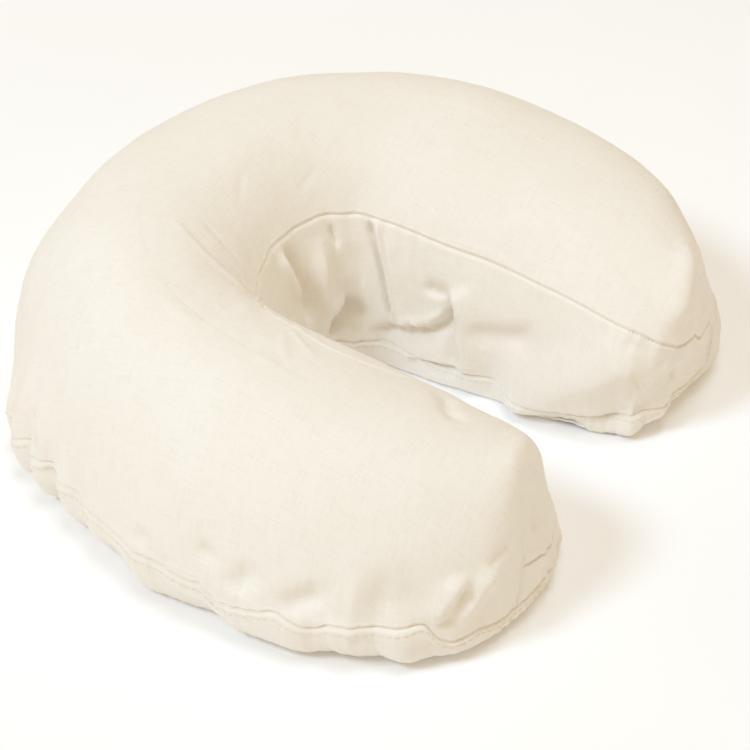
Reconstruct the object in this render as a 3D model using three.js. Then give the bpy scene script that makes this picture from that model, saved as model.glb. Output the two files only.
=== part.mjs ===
// Face cradle cushion with a fitted cotton cover.
//
// A horseshoe-shaped headrest pad: two layers of foam sewn into an upholstered
// jacket, with loop-fastener strips on its base, inside a removable elasticated
// cover. The face hole opens through the front of the pad into a slot.
//
// Units are millimetres. +Z is up, the slot opens towards -Y, the crown of the
// horseshoe is towards +Y, and the origin is at the middle of the underside.

import * as THREE from 'three';
import * as BufferGeometryUtils from 'three/addons/utils/BufferGeometryUtils.js';

// ---------------------------------------------------------------- dimensions

// Plan of the covered pad
const OVERALL_WIDTH = 302;        // side to side, over the cover
const CROWN_RADIUS = 154;         // from the plan centre to the crown
const SIDE_RADIUS = 150;          // at 60 degrees round from the crown
const ARM_RADIUS = 153;           // at 120 degrees round
const TIP_RADIUS = 149;         // at the end of the outer run
const OUTER_SWEEP_DEG = 130.5;      // how far the outer run goes round
const TIP_REACH_OUT = 34;         // reach of the arm end's curve, outer side
const TIP_REACH_IN = 14;          // and on the slot side
const HOLE_CROWN_Y = 33;          // plan position of the top of the face hole
const HOLE_HALF_WIDTH = 32.5;
const HOLE_ARCH_DEPTH = 23;
const MOUTH_HALF_WIDTH = 30.5;      // half the slot's width at its open end
const MOUTH_Y = -101;

// Section of the covered pad
const CROWN_HEIGHT = 102;
const TIP_HEIGHT = 76;
const SHOULDER_OUT = [2.25, 1.5]; // superellipse exponents, outer side
const SHOULDER_IN = [2.4, 2.9];  // and on the hole side
const WALL_OUT = 0.30;            // part of the height that is side wall
const WALL_IN = 0.275;
const TUCK_OUT = 0.09;           // how far the side wall turns in at the hem
const TUCK_IN = 0.024;
const TUCK_TIP = 0.085;             // further turning in at the arm ends

// Cover
const CLOTH = 0.6;                // cotton, with its surface nap
const SEAM_STEP = 0.65;           // hole-side seam, as part of the shoulder
const HEM_HEIGHT = 14;            // height of the elastic casing
const CASING_DEPTH = 2.5;         // outside to inside of the casing
const CASING_CLOTH = 0.5;
const ELASTIC_HEIGHT = 6.5;
const ELASTIC_THICK = 0.7;

// Pad
const JACKET_OFFSET = 3.0;        // cover surface to jacket surface
const JACKET_THICK = 1.1;
const FOAM_OFFSET = 4.5;
const BOXING_TOP_OUT = 0.62;      // jacket's top seam, as part of the shoulder
const BOXING_TOP_IN = 0.70;
const FOAM_SPLIT = 0.5;           // where the two foams meet, of the height
const BASE_THICK = 1.0;
const STRIP_THICK = 2.0;
const STRIP_WIDTH = 26;
const STRIP_LENGTH = 96;
const GAP = 0.35;                 // clearance between neighbouring pieces

// Facets
const N = 13;                     // steps along half of the outer or inner run
const NCAP = 5;                   // points round each arm's end

// ------------------------------------------------------------------- outline

// natural-ended cubic through the radius knots, flat at the crown
function radiusSpline(knots, values) {
  const n = knots.length, a = [], b = [], c = [], d = [];
  for (let i = 0; i < n; i++) {
    if (i === 0) { const h = knots[1] - knots[0]; a.push(0); b.push(2 * h); c.push(h); d.push(6 * (values[1] - values[0]) / h); }
    else if (i === n - 1) { a.push(0); b.push(1); c.push(0); d.push(0); }
    else {
      const h0 = knots[i] - knots[i - 1], h1 = knots[i + 1] - knots[i];
      a.push(h0); b.push(2 * (h0 + h1)); c.push(h1);
      d.push(6 * ((values[i + 1] - values[i]) / h1 - (values[i] - values[i - 1]) / h0));
    }
  }
  for (let i = 1; i < n; i++) { const w = a[i] / b[i - 1]; b[i] -= w * c[i - 1]; d[i] -= w * d[i - 1]; }
  const m = new Array(n).fill(0);
  for (let i = n - 1; i >= 0; i--) m[i] = (d[i] - (i < n - 1 ? c[i] * m[i + 1] : 0)) / b[i];
  return (x) => {
    let i = 0; while (i < n - 2 && x > knots[i + 1]) i++;
    const h = knots[i + 1] - knots[i], p = knots[i + 1] - x, q = x - knots[i];
    return (m[i] * p ** 3 + m[i + 1] * q ** 3) / (6 * h)
      + (values[i] / h - m[i] * h / 6) * p + (values[i + 1] / h - m[i + 1] * h / 6) * q;
  };
}
const rad = Math.PI / 180;
const radius = radiusSpline([0, 60 * rad, 120 * rad, Math.max(OUTER_SWEEP_DEG, 137.6) * rad],
  [CROWN_RADIUS, SIDE_RADIUS, ARM_RADIUS, TIP_RADIUS]);

// right-hand halves of the two runs, s from 0 at the crown to 1 at the arm's end
function outerRun(s) { const f = s * OUTER_SWEEP_DEG * rad, r = radius(f); return [r * Math.sin(f), r * Math.cos(f)]; }
function innerRun(s) {
  const k = Math.min(s / 0.5, 1) * Math.PI / 2, l = Math.max(0, (s - 0.5) / 0.5);
  let x = HOLE_HALF_WIDTH * Math.sin(k), y = HOLE_CROWN_Y - HOLE_ARCH_DEPTH * (1 - Math.cos(k));
  x += (MOUTH_HALF_WIDTH - HOLE_HALF_WIDTH) * (l * l * (3 - 2 * l));
  if (s > 0.5) y = (HOLE_CROWN_Y - HOLE_ARCH_DEPTH) * (1 - l) + MOUTH_Y * l;
  return [x, y];
}

// closed loop of stations: outer run left to right, right end, inner run right
// to left, left end. side: 0 on the outer run, 1 on the inner run, between on an end
const stations = [];
function station(side, s, out, spine) { stations.push({ side, s, out, spine }); }
function spineAt(s) {
  const o = outerRun(Math.abs(s)), i = innerRun(Math.abs(s)), g = s < 0 ? -1 : 1;
  return [g * (o[0] + i[0]) / 2, (o[1] + i[1]) / 2];
}
// a smooth curve from the outer run's end to the inner run's end
function endCap(sign) {
  const h = 1e-3, unit = (a, b) => { const l = Math.hypot(a[0] - b[0], a[1] - b[1]); return [(a[0] - b[0]) / l, (a[1] - b[1]) / l]; };
  const o = outerRun(1), i = innerRun(1), od = unit(o, outerRun(1 - h)), id = unit(i, innerRun(1 - h));
  for (let j = 1; j <= NCAP; j++) {
    const k = sign > 0 ? j / (NCAP + 1) : 1 - j / (NCAP + 1), m = 1 - k;
    const at = (n) => m ** 3 * o[n] + 3 * m * m * k * (o[n] + od[n] * TIP_REACH_OUT)
      + 3 * m * k * k * (i[n] + id[n] * TIP_REACH_IN) + k ** 3 * i[n];
    station(k, sign, [sign * at(0), at(1)], spineAt(sign));
  }
}
for (let i = -N; i <= N; i++) { const s = i / N, o = outerRun(Math.abs(s)); station(0, s, [Math.sign(s || 1) * o[0], o[1]], spineAt(s)); }
endCap(1);
for (let i = N; i >= -N; i--) { const s = i / N, o = innerRun(Math.abs(s)); station(1, s, [Math.sign(s || 1) * o[0], o[1]], spineAt(s)); }
endCap(-1);

// scale the plan to the stated width, and centre it on the origin
{
  const xs = stations.map((q) => q.out[0]), ys = stations.map((q) => q.out[1]);
  const k = OVERALL_WIDTH / (Math.max(...xs) - Math.min(...xs)), y0 = (Math.max(...ys) + Math.min(...ys)) / 2;
  for (const q of stations) {
    q.out = [q.out[0] * k, (q.out[1] - y0) * k];
    q.spine = [q.spine[0] * k, (q.spine[1] - y0) * k];
    q.height = CROWN_HEIGHT + (TIP_HEIGHT - CROWN_HEIGHT) * q.s * q.s;
  }
}
// outward normal of the plan at each station
const T = stations.length;
for (let i = 0; i < T; i++) {
  const a = stations[(i + T - 1) % T].out, b = stations[(i + 1) % T].out;
  const t = [b[0] - a[0], b[1] - a[1]], l = Math.hypot(t[0], t[1]);
  stations[i].normal = [-t[1] / l, t[0] / l];
}
{ // the loop runs clockwise seen from above when the normal above points out
  let area = 0;
  for (let i = 0; i < T; i++) { const a = stations[i].out, b = stations[(i + 1) % T].out; area += a[0] * b[1] - a[1] * b[0]; }
  if (area > 0) throw new Error('the outline must run clockwise');
}

// ------------------------------------------------------------------- surface

const lerp = (a, b, f) => a + (b - a) * f;
const wallPart = (q) => lerp(WALL_OUT, WALL_IN, q.side);

// a point on the covered pad's surface, set in by depth. u runs from 0 on the
// spine, through 1 at the top of the side wall, to 2 on the ground
function point(q, u, depth) {
  const zw = wallPart(q);
  if (u <= 1) {
    const k = u * Math.PI / 2, s = Math.sin(k), c = Math.cos(k);
    const rho = s ** (2 / lerp(SHOULDER_OUT[0], SHOULDER_IN[0], q.side));
    const z = zw + (1 - zw) * Math.abs(c) ** (2 / lerp(SHOULDER_OUT[1], SHOULDER_IN[1], q.side));
    return [
      q.spine[0] + (q.out[0] - q.spine[0]) * rho - q.normal[0] * depth * s,
      q.spine[1] + (q.out[1] - q.spine[1]) * rho - q.normal[1] * depth * s,
      z * q.height - depth * c];
  }
  return wallPoint(q, (2 - u) * zw * q.height, depth);
}
// a point on the side wall at a height
function wallPoint(q, z, depth) {
  const zw = wallPart(q) * q.height, f = Math.max(0, 1 - z / zw), e = Math.min(1, Math.max(0, (Math.abs(q.s) - 0.7) / 0.3));
  const rho = 1 - (lerp(TUCK_OUT, TUCK_IN, q.side) + TUCK_TIP * e * e * (3 - 2 * e)) * f * f;
  return [
    q.spine[0] + (q.out[0] - q.spine[0]) * rho - q.normal[0] * depth,
    q.spine[1] + (q.out[1] - q.spine[1]) * rho - q.normal[1] * depth, z];
}
function uAtHeight(q, z, depth) {
  const zw = wallPart(q) * q.height;
  if (z <= zw) return 2 - z / zw;
  let a = 0, b = 1;
  for (let i = 0; i < 40; i++) { const m = (a + b) / 2; if (point(q, m, depth)[2] > z) a = m; else b = m; }
  return a;
}
// a station part of the way between two
function between(t) {
  const i = Math.floor(t), f = t - i, a = stations[((i % T) + T) % T], b = stations[(((i + 1) % T) + T) % T];
  if (f < 1e-9) return a;
  const mix = (x, y) => [lerp(x[0], y[0], f), lerp(x[1], y[1], f)];
  return { side: lerp(a.side, b.side, f), s: lerp(a.s, b.s, f), out: mix(a.out, b.out), spine: mix(a.spine, b.spine),
    normal: mix(a.normal, b.normal), height: lerp(a.height, b.height, f) };
}

// ---------------------------------------------------------------- mesh tools

class Faces {
  constructor() { this.p = []; }
  tri(a, b, c) {
    const same = (x, y) => Math.hypot(x[0] - y[0], x[1] - y[1], x[2] - y[2]) < 1e-4;
    if (same(a, b) || same(b, c) || same(a, c)) return;
    this.p.push(...a, ...b, ...c);
  }
  quad(a, b, c, d) { this.tri(a, b, c); this.tri(a, c, d); }
  geometry() {
    const g = new THREE.BufferGeometry();
    g.setAttribute('position', new THREE.Float32BufferAttribute(this.p, 3));
    const m = BufferGeometryUtils.mergeVertices(g, 1e-4);
    m.computeVertexNormals();
    return m;
  }
}
// a sheet over the whole horseshoe, from the spine outwards through the steps
// us(q), between two depths
function capSheet(us, d0, d1) {
  const F = new Faces(), rows = (d) => stations.map((q) => us(q).map((u) => point(q, u, d)));
  const A = rows(d0), B = rows(d1), m = A[0].length - 1;
  for (let i = 0; i < T; i++) {
    const j = (i + 1) % T;
    for (let k = 0; k < m; k++) {
      F.quad(A[i][k], A[j][k], A[j][k + 1], A[i][k + 1]);
      F.quad(B[i][k], B[i][k + 1], B[j][k + 1], B[j][k]);
    }
    F.quad(A[i][m], A[j][m], B[j][m], B[i][m]);
  }
  return F;
}
// a strip along stations t0..t1, through the steps us(q) from top to bottom,
// between two depths
function strip(t0, t1, us, d0, d1) {
  const ts = [t0]; for (let i = Math.floor(t0) + 1; i < t1 - 1e-6; i++) if (i > t0 + 1e-6) ts.push(i); ts.push(t1);
  const F = new Faces();
  const rows = (d) => ts.map((t) => { const q = between(t); return us(q).map((u) => point(q, u, d)); });
  const A = rows(d0), B = rows(d1), m = A[0].length - 1, n = ts.length - 1;
  for (let i = 0; i < n; i++) {
    const j = i + 1;
    for (let k = 0; k < m; k++) {
      F.quad(A[i][k], A[j][k], A[j][k + 1], A[i][k + 1]);
      F.quad(B[i][k], B[i][k + 1], B[j][k + 1], B[j][k]);
    }
    F.quad(A[i][m], A[j][m], B[j][m], B[i][m]);
    F.quad(A[i][0], B[i][0], B[j][0], A[j][0]);
  }
  for (let k = 0; k < m; k++) {
    F.quad(A[0][k], A[0][k + 1], B[0][k + 1], B[0][k]);
    F.quad(A[n][k], B[n][k], B[n][k + 1], A[n][k + 1]);
  }
  return F;
}
// a closed section carried round the whole outline; corners are [depth, z]
function ring(section) {
  const F = new Faces(), R = stations.map((q) => section.map(([d, z]) => wallPoint(q, z, d))), m = section.length;
  for (let i = 0; i < T; i++) for (let k = 0; k < m; k++) {
    const j = (i + 1) % T, l = (k + 1) % m;
    F.quad(R[i][k], R[j][k], R[j][l], R[i][l]);
  }
  return F;
}
// a flat or gently sloping face over the horseshoe, from the ring of points to the spine
function fan(F, loop, spineZ, up) {
  for (let i = 0; i < T; i++) {
    const j = (i + 1) % T, a = loop[i], b = loop[j];
    const c = [...stations[j].spine, spineZ(stations[j])], d = [...stations[i].spine, spineZ(stations[i])];
    if (up) F.quad(a, d, c, b); else F.quad(a, b, c, d);
  }
}

// -------------------------------------------------------------------- pieces

const hemU = (q, z) => 2 - z / (wallPart(q) * q.height);

// where the top panel ends: at the hem outside, at the seam inside, and running
// down across each arm's end between the two
function panelEdge(q) {
  const hem = hemU(q, HEM_HEIGHT + GAP);
  const f = Math.min(1, q.side / 0.34);
  return lerp(hem, SEAM_STEP, f * f * (3 - 2 * f));
}
const coverSteps = [0, 0.13, 0.26, 0.38, 0.5, 0.62, 0.74, 0.87, 1];
const coverTop = capSheet((q) => coverSteps.map((v) => v * panelEdge(q)), 0, CLOTH);

const rightEnd = 2 * N, innerStart = rightEnd + NCAP + 1, innerEnd = innerStart + 2 * N, leftEnd = innerEnd + NCAP;
const gusset = strip(rightEnd + 0.45, T - 0.45, (q) => {
  const a = panelEdge(q) + 0.012, b = hemU(q, HEM_HEIGHT + GAP);
  return [0, 0.3, 0.65, 1].map((v) => lerp(a, b, v));
}, 0, CLOTH);

const w = CASING_CLOTH, D = CASING_DEPTH;
// casing and elastic bend at the same levels, so that one lies inside the other
const e0 = 1.2, e1 = e0 + ELASTIC_HEIGHT, bends = [3, 7];
const at = (depth, ...levels) => levels.map((z) => [depth, z]);
const casing = ring([...at(0, HEM_HEIGHT, bends[1], bends[0], 0), ...at(D, 0, ...bends, HEM_HEIGHT - 1.5),
  ...at(D - w, HEM_HEIGHT - 1.5, bends[1], bends[0], w), ...at(w, w, ...bends, HEM_HEIGHT)]);
const eo = (D - ELASTIC_THICK) / 2;
const elastic = ring([...at(eo, e1, bends[1], bends[0], e0), ...at(eo + ELASTIC_THICK, e0, ...bends, e1)]);

// jacket of the pad
const baseLow = STRIP_THICK + GAP, baseTop = baseLow + BASE_THICK, foamLow = baseTop + GAP;
const J0 = JACKET_OFFSET, J1 = JACKET_OFFSET + JACKET_THICK;
const split = (q) => q.height * FOAM_SPLIT;
const boxingTop = (q) => lerp(BOXING_TOP_OUT, BOXING_TOP_IN, q.side);
// the jacket and the foams share their facets' edges, so that they nest
const topSteps = (q) => [0, 0.25, 0.48, 0.72, 1].map((v) => v * boxingTop(q));
const foamSplit = (q, dz) => uAtHeight(q, split(q) + dz, FOAM_OFFSET);
const jacketTop = capSheet(topSteps, J0, J1);
const boxing = (t0, t1) => strip(t0, t1, (q) => {
  const a = boxingTop(q), b = foamSplit(q, 0);
  return [a + 0.012, (a + b) / 2, b, 1, hemU(q, foamLow)];
}, J0, J1);
const outerBoxing = boxing(innerEnd + 0.02 - T, innerStart - 0.02);
const innerBoxing = boxing(innerStart + 0.02, innerEnd - 0.02);

function slab(depth, z0, z1) {
  const F = new Faces(), lo = stations.map((q) => wallPoint(q, z0, depth)), hi = stations.map((q) => wallPoint(q, z1, depth));
  for (let i = 0; i < T; i++) { const j = (i + 1) % T; F.quad(hi[i], hi[j], lo[j], lo[i]); }
  fan(F, lo, () => z0, false); fan(F, hi, () => z1, true);
  return F;
}
const basePanel = slab(J0, baseLow, baseTop);

// foams
function foamTop() {
  const F = new Faces();
  const R = stations.map((q) => {
    const a = boxingTop(q), b = foamSplit(q, GAP / 2);
    return [...topSteps(q), (a + b) / 2, b].map((u) => point(q, u, FOAM_OFFSET));
  });
  const m = R[0].length - 1;
  for (let i = 0; i < T; i++) { const j = (i + 1) % T; for (let k = 0; k < m; k++) F.quad(R[i][k], R[j][k], R[j][k + 1], R[i][k + 1]); }
  fan(F, R.map((r) => r[m]), (q) => split(q) + GAP / 2, false);
  return F;
}
function foamCore() {
  const F = new Faces();
  const R = stations.map((q) => [foamSplit(q, -GAP / 2), 1, hemU(q, foamLow)].map((u) => point(q, u, FOAM_OFFSET)));
  const m = R[0].length - 1;
  for (let i = 0; i < T; i++) { const j = (i + 1) % T; for (let k = 0; k < m; k++) F.quad(R[i][k], R[j][k], R[j][k + 1], R[i][k + 1]); }
  fan(F, R.map((r) => r[0]), (q) => split(q) - GAP / 2, true);
  fan(F, R.map((r) => r[m]), () => foamLow, false);
  return F;
}

// loop-fastener strips under the base, with rounded corners
function loopStrip(length, width) {
  const r = 5, s = new THREE.Shape(), a = length / 2, b = width / 2;
  s.moveTo(-a + r, -b); s.lineTo(a - r, -b); s.absarc(a - r, -b + r, r, -Math.PI / 2, 0);
  s.lineTo(a, b - r); s.absarc(a - r, b - r, r, 0, Math.PI / 2);
  s.lineTo(-a + r, b); s.absarc(-a + r, b - r, r, Math.PI / 2, Math.PI);
  s.lineTo(-a, -b + r); s.absarc(-a + r, -b + r, r, Math.PI, 1.5 * Math.PI);
  return new THREE.ExtrudeGeometry(s, { depth: STRIP_THICK, bevelEnabled: false, curveSegments: 3 });
}

// --------------------------------------------------------------------- model

const cotton = new THREE.MeshStandardMaterial({ color: 0xf3ece0, roughness: 0.95, metalness: 0 });
const elasticMat = new THREE.MeshStandardMaterial({ color: 0xf4f2ec, roughness: 0.85, metalness: 0 });
const vinyl = new THREE.MeshStandardMaterial({ color: 0xe4d8c2, roughness: 0.55, metalness: 0 });
const baseCloth = new THREE.MeshStandardMaterial({ color: 0xcfc2aa, roughness: 0.9, metalness: 0 });
const comfort = new THREE.MeshStandardMaterial({ color: 0xf6efcf, roughness: 1, metalness: 0 });
const support = new THREE.MeshStandardMaterial({ color: 0xe9e6de, roughness: 1, metalness: 0 });
const loopCloth = new THREE.MeshStandardMaterial({ color: 0xd9cfbb, roughness: 1, metalness: 0 });

const group = new THREE.Group();
function add(name, geometry, material) {
  const m = new THREE.Mesh(geometry instanceof Faces ? geometry.geometry() : geometry, material);
  m.name = name; group.add(m); return m;
}
add('cover_top_panel', coverTop, cotton);
add('cover_inner_gusset', gusset, cotton);
add('cover_hem_casing', casing, cotton);
add('hem_elastic', elastic, elasticMat);
add('jacket_top_panel', jacketTop, vinyl);
add('jacket_outer_boxing', outerBoxing, vinyl);
add('jacket_inner_boxing', innerBoxing, vinyl);
add('jacket_base_panel', basePanel, baseCloth);
add('foam_comfort_layer', foamTop(), comfort);
add('foam_support_core', foamCore(), support);

const crown = stations[N];
const crownStrip = add('loop_strip_crown', loopStrip(STRIP_LENGTH, STRIP_WIDTH), loopCloth);
crownStrip.position.set(0, crown.spine[1] + 2, 0);
const arm = stations[2 * N - 5], armNext = stations[2 * N - 4];
const dir = Math.atan2(armNext.spine[1] - arm.spine[1], armNext.spine[0] - arm.spine[0]);
for (const side of [-1, 1]) {
  const s = add(side < 0 ? 'loop_strip_left' : 'loop_strip_right', loopStrip(STRIP_LENGTH, STRIP_WIDTH), loopCloth);
  s.position.set(side * arm.spine[0], arm.spine[1], 0);
  s.rotation.z = side > 0 ? dir : Math.PI - dir;
}

export default group;
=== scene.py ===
"""Face cradle cushion: a padded horseshoe in a jacket, under a fitted cotton cover."""
import math
import bpy
import numpy as np
from mathutils import Matrix, Vector


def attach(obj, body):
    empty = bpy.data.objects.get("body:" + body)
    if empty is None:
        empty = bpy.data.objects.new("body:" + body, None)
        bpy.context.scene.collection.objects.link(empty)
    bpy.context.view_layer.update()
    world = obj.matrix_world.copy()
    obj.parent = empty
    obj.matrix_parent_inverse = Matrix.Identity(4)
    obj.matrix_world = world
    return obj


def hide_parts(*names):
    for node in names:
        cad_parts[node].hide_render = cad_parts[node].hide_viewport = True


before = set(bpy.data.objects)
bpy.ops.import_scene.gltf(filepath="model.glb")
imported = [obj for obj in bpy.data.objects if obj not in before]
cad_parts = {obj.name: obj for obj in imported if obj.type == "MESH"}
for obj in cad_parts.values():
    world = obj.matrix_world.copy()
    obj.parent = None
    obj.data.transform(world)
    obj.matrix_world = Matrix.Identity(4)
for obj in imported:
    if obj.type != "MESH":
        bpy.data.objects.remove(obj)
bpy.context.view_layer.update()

RNG = np.random.RandomState(11)
MM = 0.001

# ------------------------------------------------------------------ the form
# The covered pad as it lies, in millimetres, in the row frame. The outer run and
# the face hole's run are followed by s, from -1 at the left arm's end through 0
# at the crown to 1 at the right arm's end.
SCALE = 0.975
SHIFT = np.array([-7.0, -20.87])
FORM = dict(r=(151.633, 150.0, 155.513, 148.644), ra=(0.0, 8.127, 2.799, -3.035), sweep=130.145,
            yi=34.875, wa=31.09, la=16.677, wm=30.248, wma=0.612, yt=-95.131, yta=-6.039, ix=-3.644,
            co=29.5, ci=18.0, H=99.907, Ht=69.021, hta=-0.431, ha=2.258,
            no=(2.453, 1.322), na=0.032, ni=(1.893, 2.598), wo=0.293, wi=0.227,
            tuck=0.153, tucki=0.021, tip=0.042)


def spline(kn, val):
    """cubic through the knots, level at the first and free at the last"""
    n = len(kn)
    A, b, h = np.zeros((n, n)), np.zeros(n), np.diff(kn)
    A[0, 0], A[0, 1] = 2 * h[0], h[0]
    b[0] = 6 * (val[1] - val[0]) / h[0]
    for i in range(1, n - 1):
        A[i, i - 1:i + 2] = h[i - 1], 2 * (h[i - 1] + h[i]), h[i]
        b[i] = 6 * ((val[i + 1] - val[i]) / h[i] - (val[i] - val[i - 1]) / h[i - 1])
    A[-1, -1] = 1
    m = np.linalg.solve(A, b)

    def f(x):
        i = np.clip(np.searchsorted(kn, x, side="right") - 1, 0, n - 2)
        hh, p, q = h[i], kn[i + 1] - x, x - kn[i]
        return (m[i] * p ** 3 + m[i + 1] * q ** 3) / (6 * hh) + (val[i] / hh - m[i] * hh / 6) * p + (val[i + 1] / hh - m[i + 1] * hh / 6) * q
    return f


def runs(s, F=FORM):
    """points of the outer and the hole's run at each s"""
    s = np.atleast_1d(np.asarray(s, float))
    u, sg = np.abs(s), np.where(s < 0, -1.0, 1.0)
    e = math.radians(F["sweep"])
    kn = np.array([0, math.pi / 3, 2 * math.pi / 3, max(e, 2.4)])
    ph = u * e
    out, inn = np.zeros((len(s), 2)), np.zeros((len(s), 2))
    for g in (-1.0, 1.0):
        k = sg == g
        r = spline(kn, np.array(F["r"]) + g * np.array(F["ra"]))(ph[k])
        out[k] = np.stack([g * r * np.sin(ph[k]), r * np.cos(ph[k])], 1)
        wm, yt = F["wm"] + g * F["wma"], F["yt"] + g * F["yta"]
        a, l = np.clip(u[k] / .5, 0, 1) * math.pi / 2, np.clip((u[k] - .5) / .5, 0, 1)
        x = F["wa"] * np.sin(a) + (wm - F["wa"]) * l * l * (3 - 2 * l)
        y = F["yi"] - F["la"] * (1 - np.cos(a))
        y = np.where(u[k] > .5, (F["yi"] - F["la"]) * (1 - l) + yt * l, y)
        inn[k] = np.stack([g * x + F["ix"], y], 1)
    return out, inn


def eased(P, sigma):
    """a run smoothed along its length, with its ends kept"""
    w = int(3 * sigma) + 1
    k = np.exp(-.5 * (np.arange(-w, w + 1) / sigma) ** 2)
    k /= k.sum()
    E = np.concatenate([2 * P[:1] - P[w:0:-1], P, 2 * P[-1:] - P[-2:-w - 2:-1]])
    return np.stack([np.convolve(E[:, i], k, "valid") for i in range(P.shape[1])], 1)


def outline(n, ncap, F=FORM):
    """the closed loop of stations: outer run from left to right, right arm's end,
    hole's run from right to left, left arm's end"""
    s = np.linspace(-1, 1, 2 * n + 1)
    out, inn = runs(s, F)
    inn = eased(inn, .05 * n)
    spine = (out + inn) / 2

    def end(o, o1, i, i1):
        od, idr = (o - o1) / np.hypot(*(o - o1)), (i - i1) / np.hypot(*(i - i1))
        k = np.linspace(0, 1, ncap + 2)[1:-1][:, None]
        return (1 - k) ** 3 * o + 3 * (1 - k) ** 2 * k * (o + od * F["co"]) + 3 * (1 - k) * k * k * (i + idr * F["ci"]) + k ** 3 * i
    right, left = end(out[-1], out[-2], inn[-1], inn[-2]), end(out[0], out[1], inn[0], inn[1])[::-1]
    kc = np.linspace(0, 1, ncap + 2)[1:-1]
    O = np.concatenate([out, right, inn[::-1], left])
    M = np.concatenate([spine, np.repeat(spine[-1:], ncap, 0), spine[::-1], np.repeat(spine[:1], ncap, 0)])
    side = np.concatenate([np.zeros(2 * n + 1), kc, np.ones(2 * n + 1), 1 - kc])
    sl = np.concatenate([s, np.ones(ncap), s[::-1], -np.ones(ncap)])
    t = np.roll(O, -1, 0) - np.roll(O, 1, 0)
    t /= np.hypot(t[:, 0], t[:, 1])[:, None]
    nrm = np.stack([-t[:, 1], t[:, 0]], 1)
    return dict(O=O, M=M, side=side, s=sl, n=nrm)


def height(s, F=FORM):
    return F["H"] + (F["Ht"] - F["H"]) * s * s + F["hta"] * s * np.abs(s) + F["ha"] * np.sin(math.pi * s)


def point(q, u, depth=0.0, F=FORM):
    """surface points at stations q (T) and steps u (T, V): 0 on the spine, 1 at the
    top of the side wall, 2 on the ground. depth sets them in along the normal"""
    u = np.asarray(u, float)
    side, s = q["side"][:, None], q["s"][:, None]
    H = height(s, F)
    wall = F["wo"] * (1 - side) + F["wi"] * side
    k = np.clip(u, 0, 1) * math.pi / 2
    sk, ck = np.sin(k), np.clip(np.cos(k), 0, 1)
    w = np.clip(s / 2 + .5, 0, 1)
    rho = sk ** (2 / F["no"][0]) * (1 - side) + sk ** (2 / F["ni"][0]) * side
    zo = ck ** (2 / (F["no"][1] - F["na"])) * (1 - w) + ck ** (2 / (F["no"][1] + F["na"])) * w
    zeta = wall + (1 - wall) * (zo * (1 - side) + ck ** (2 / F["ni"][1]) * side)
    k2 = np.clip(u - 1, 0, 1) * math.pi / 2
    e = np.clip((np.abs(s) - .7) / .3, 0, 1)
    e = e * e * (3 - 2 * e)
    rho = rho - (F["tuck"] * (1 - side) + F["tucki"] * side + F["tip"] * e) * (1 - np.cos(k2))
    zeta = np.where(u > 1, wall * (1 - np.sin(k2)), zeta)
    a = np.where(u > 1, 1.0, sk)
    XY = q["M"][:, None] + (q["O"] - q["M"])[:, None] * rho[..., None] - q["n"][:, None] * (depth * a)[..., None]
    z = zeta * H - depth * np.where(u > 1, 0, ck)
    return np.concatenate([(XY + SHIFT) * SCALE, (z * SCALE)[..., None]], 2)


def u_at_height(q, z, F=FORM):
    """the step on the side wall that is z mm above the ground"""
    wall = (F["wo"] * (1 - q["side"]) + F["wi"] * q["side"]) * height(q["s"], F) * SCALE
    return 1 + np.arcsin(np.clip(1 - z / wall, 0, 1)) / (math.pi / 2)


# the camera that looks at it
EYE = dict(az=-61.467737, el=36.376853, dist=872.514 * SCALE, f=2.9930743, roll=0.32334,
           target=((-26.657716 + SHIFT[0]) * SCALE, (-12.097248 + SHIFT[1]) * SCALE, 0.4 * 99.907 * SCALE))

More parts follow.
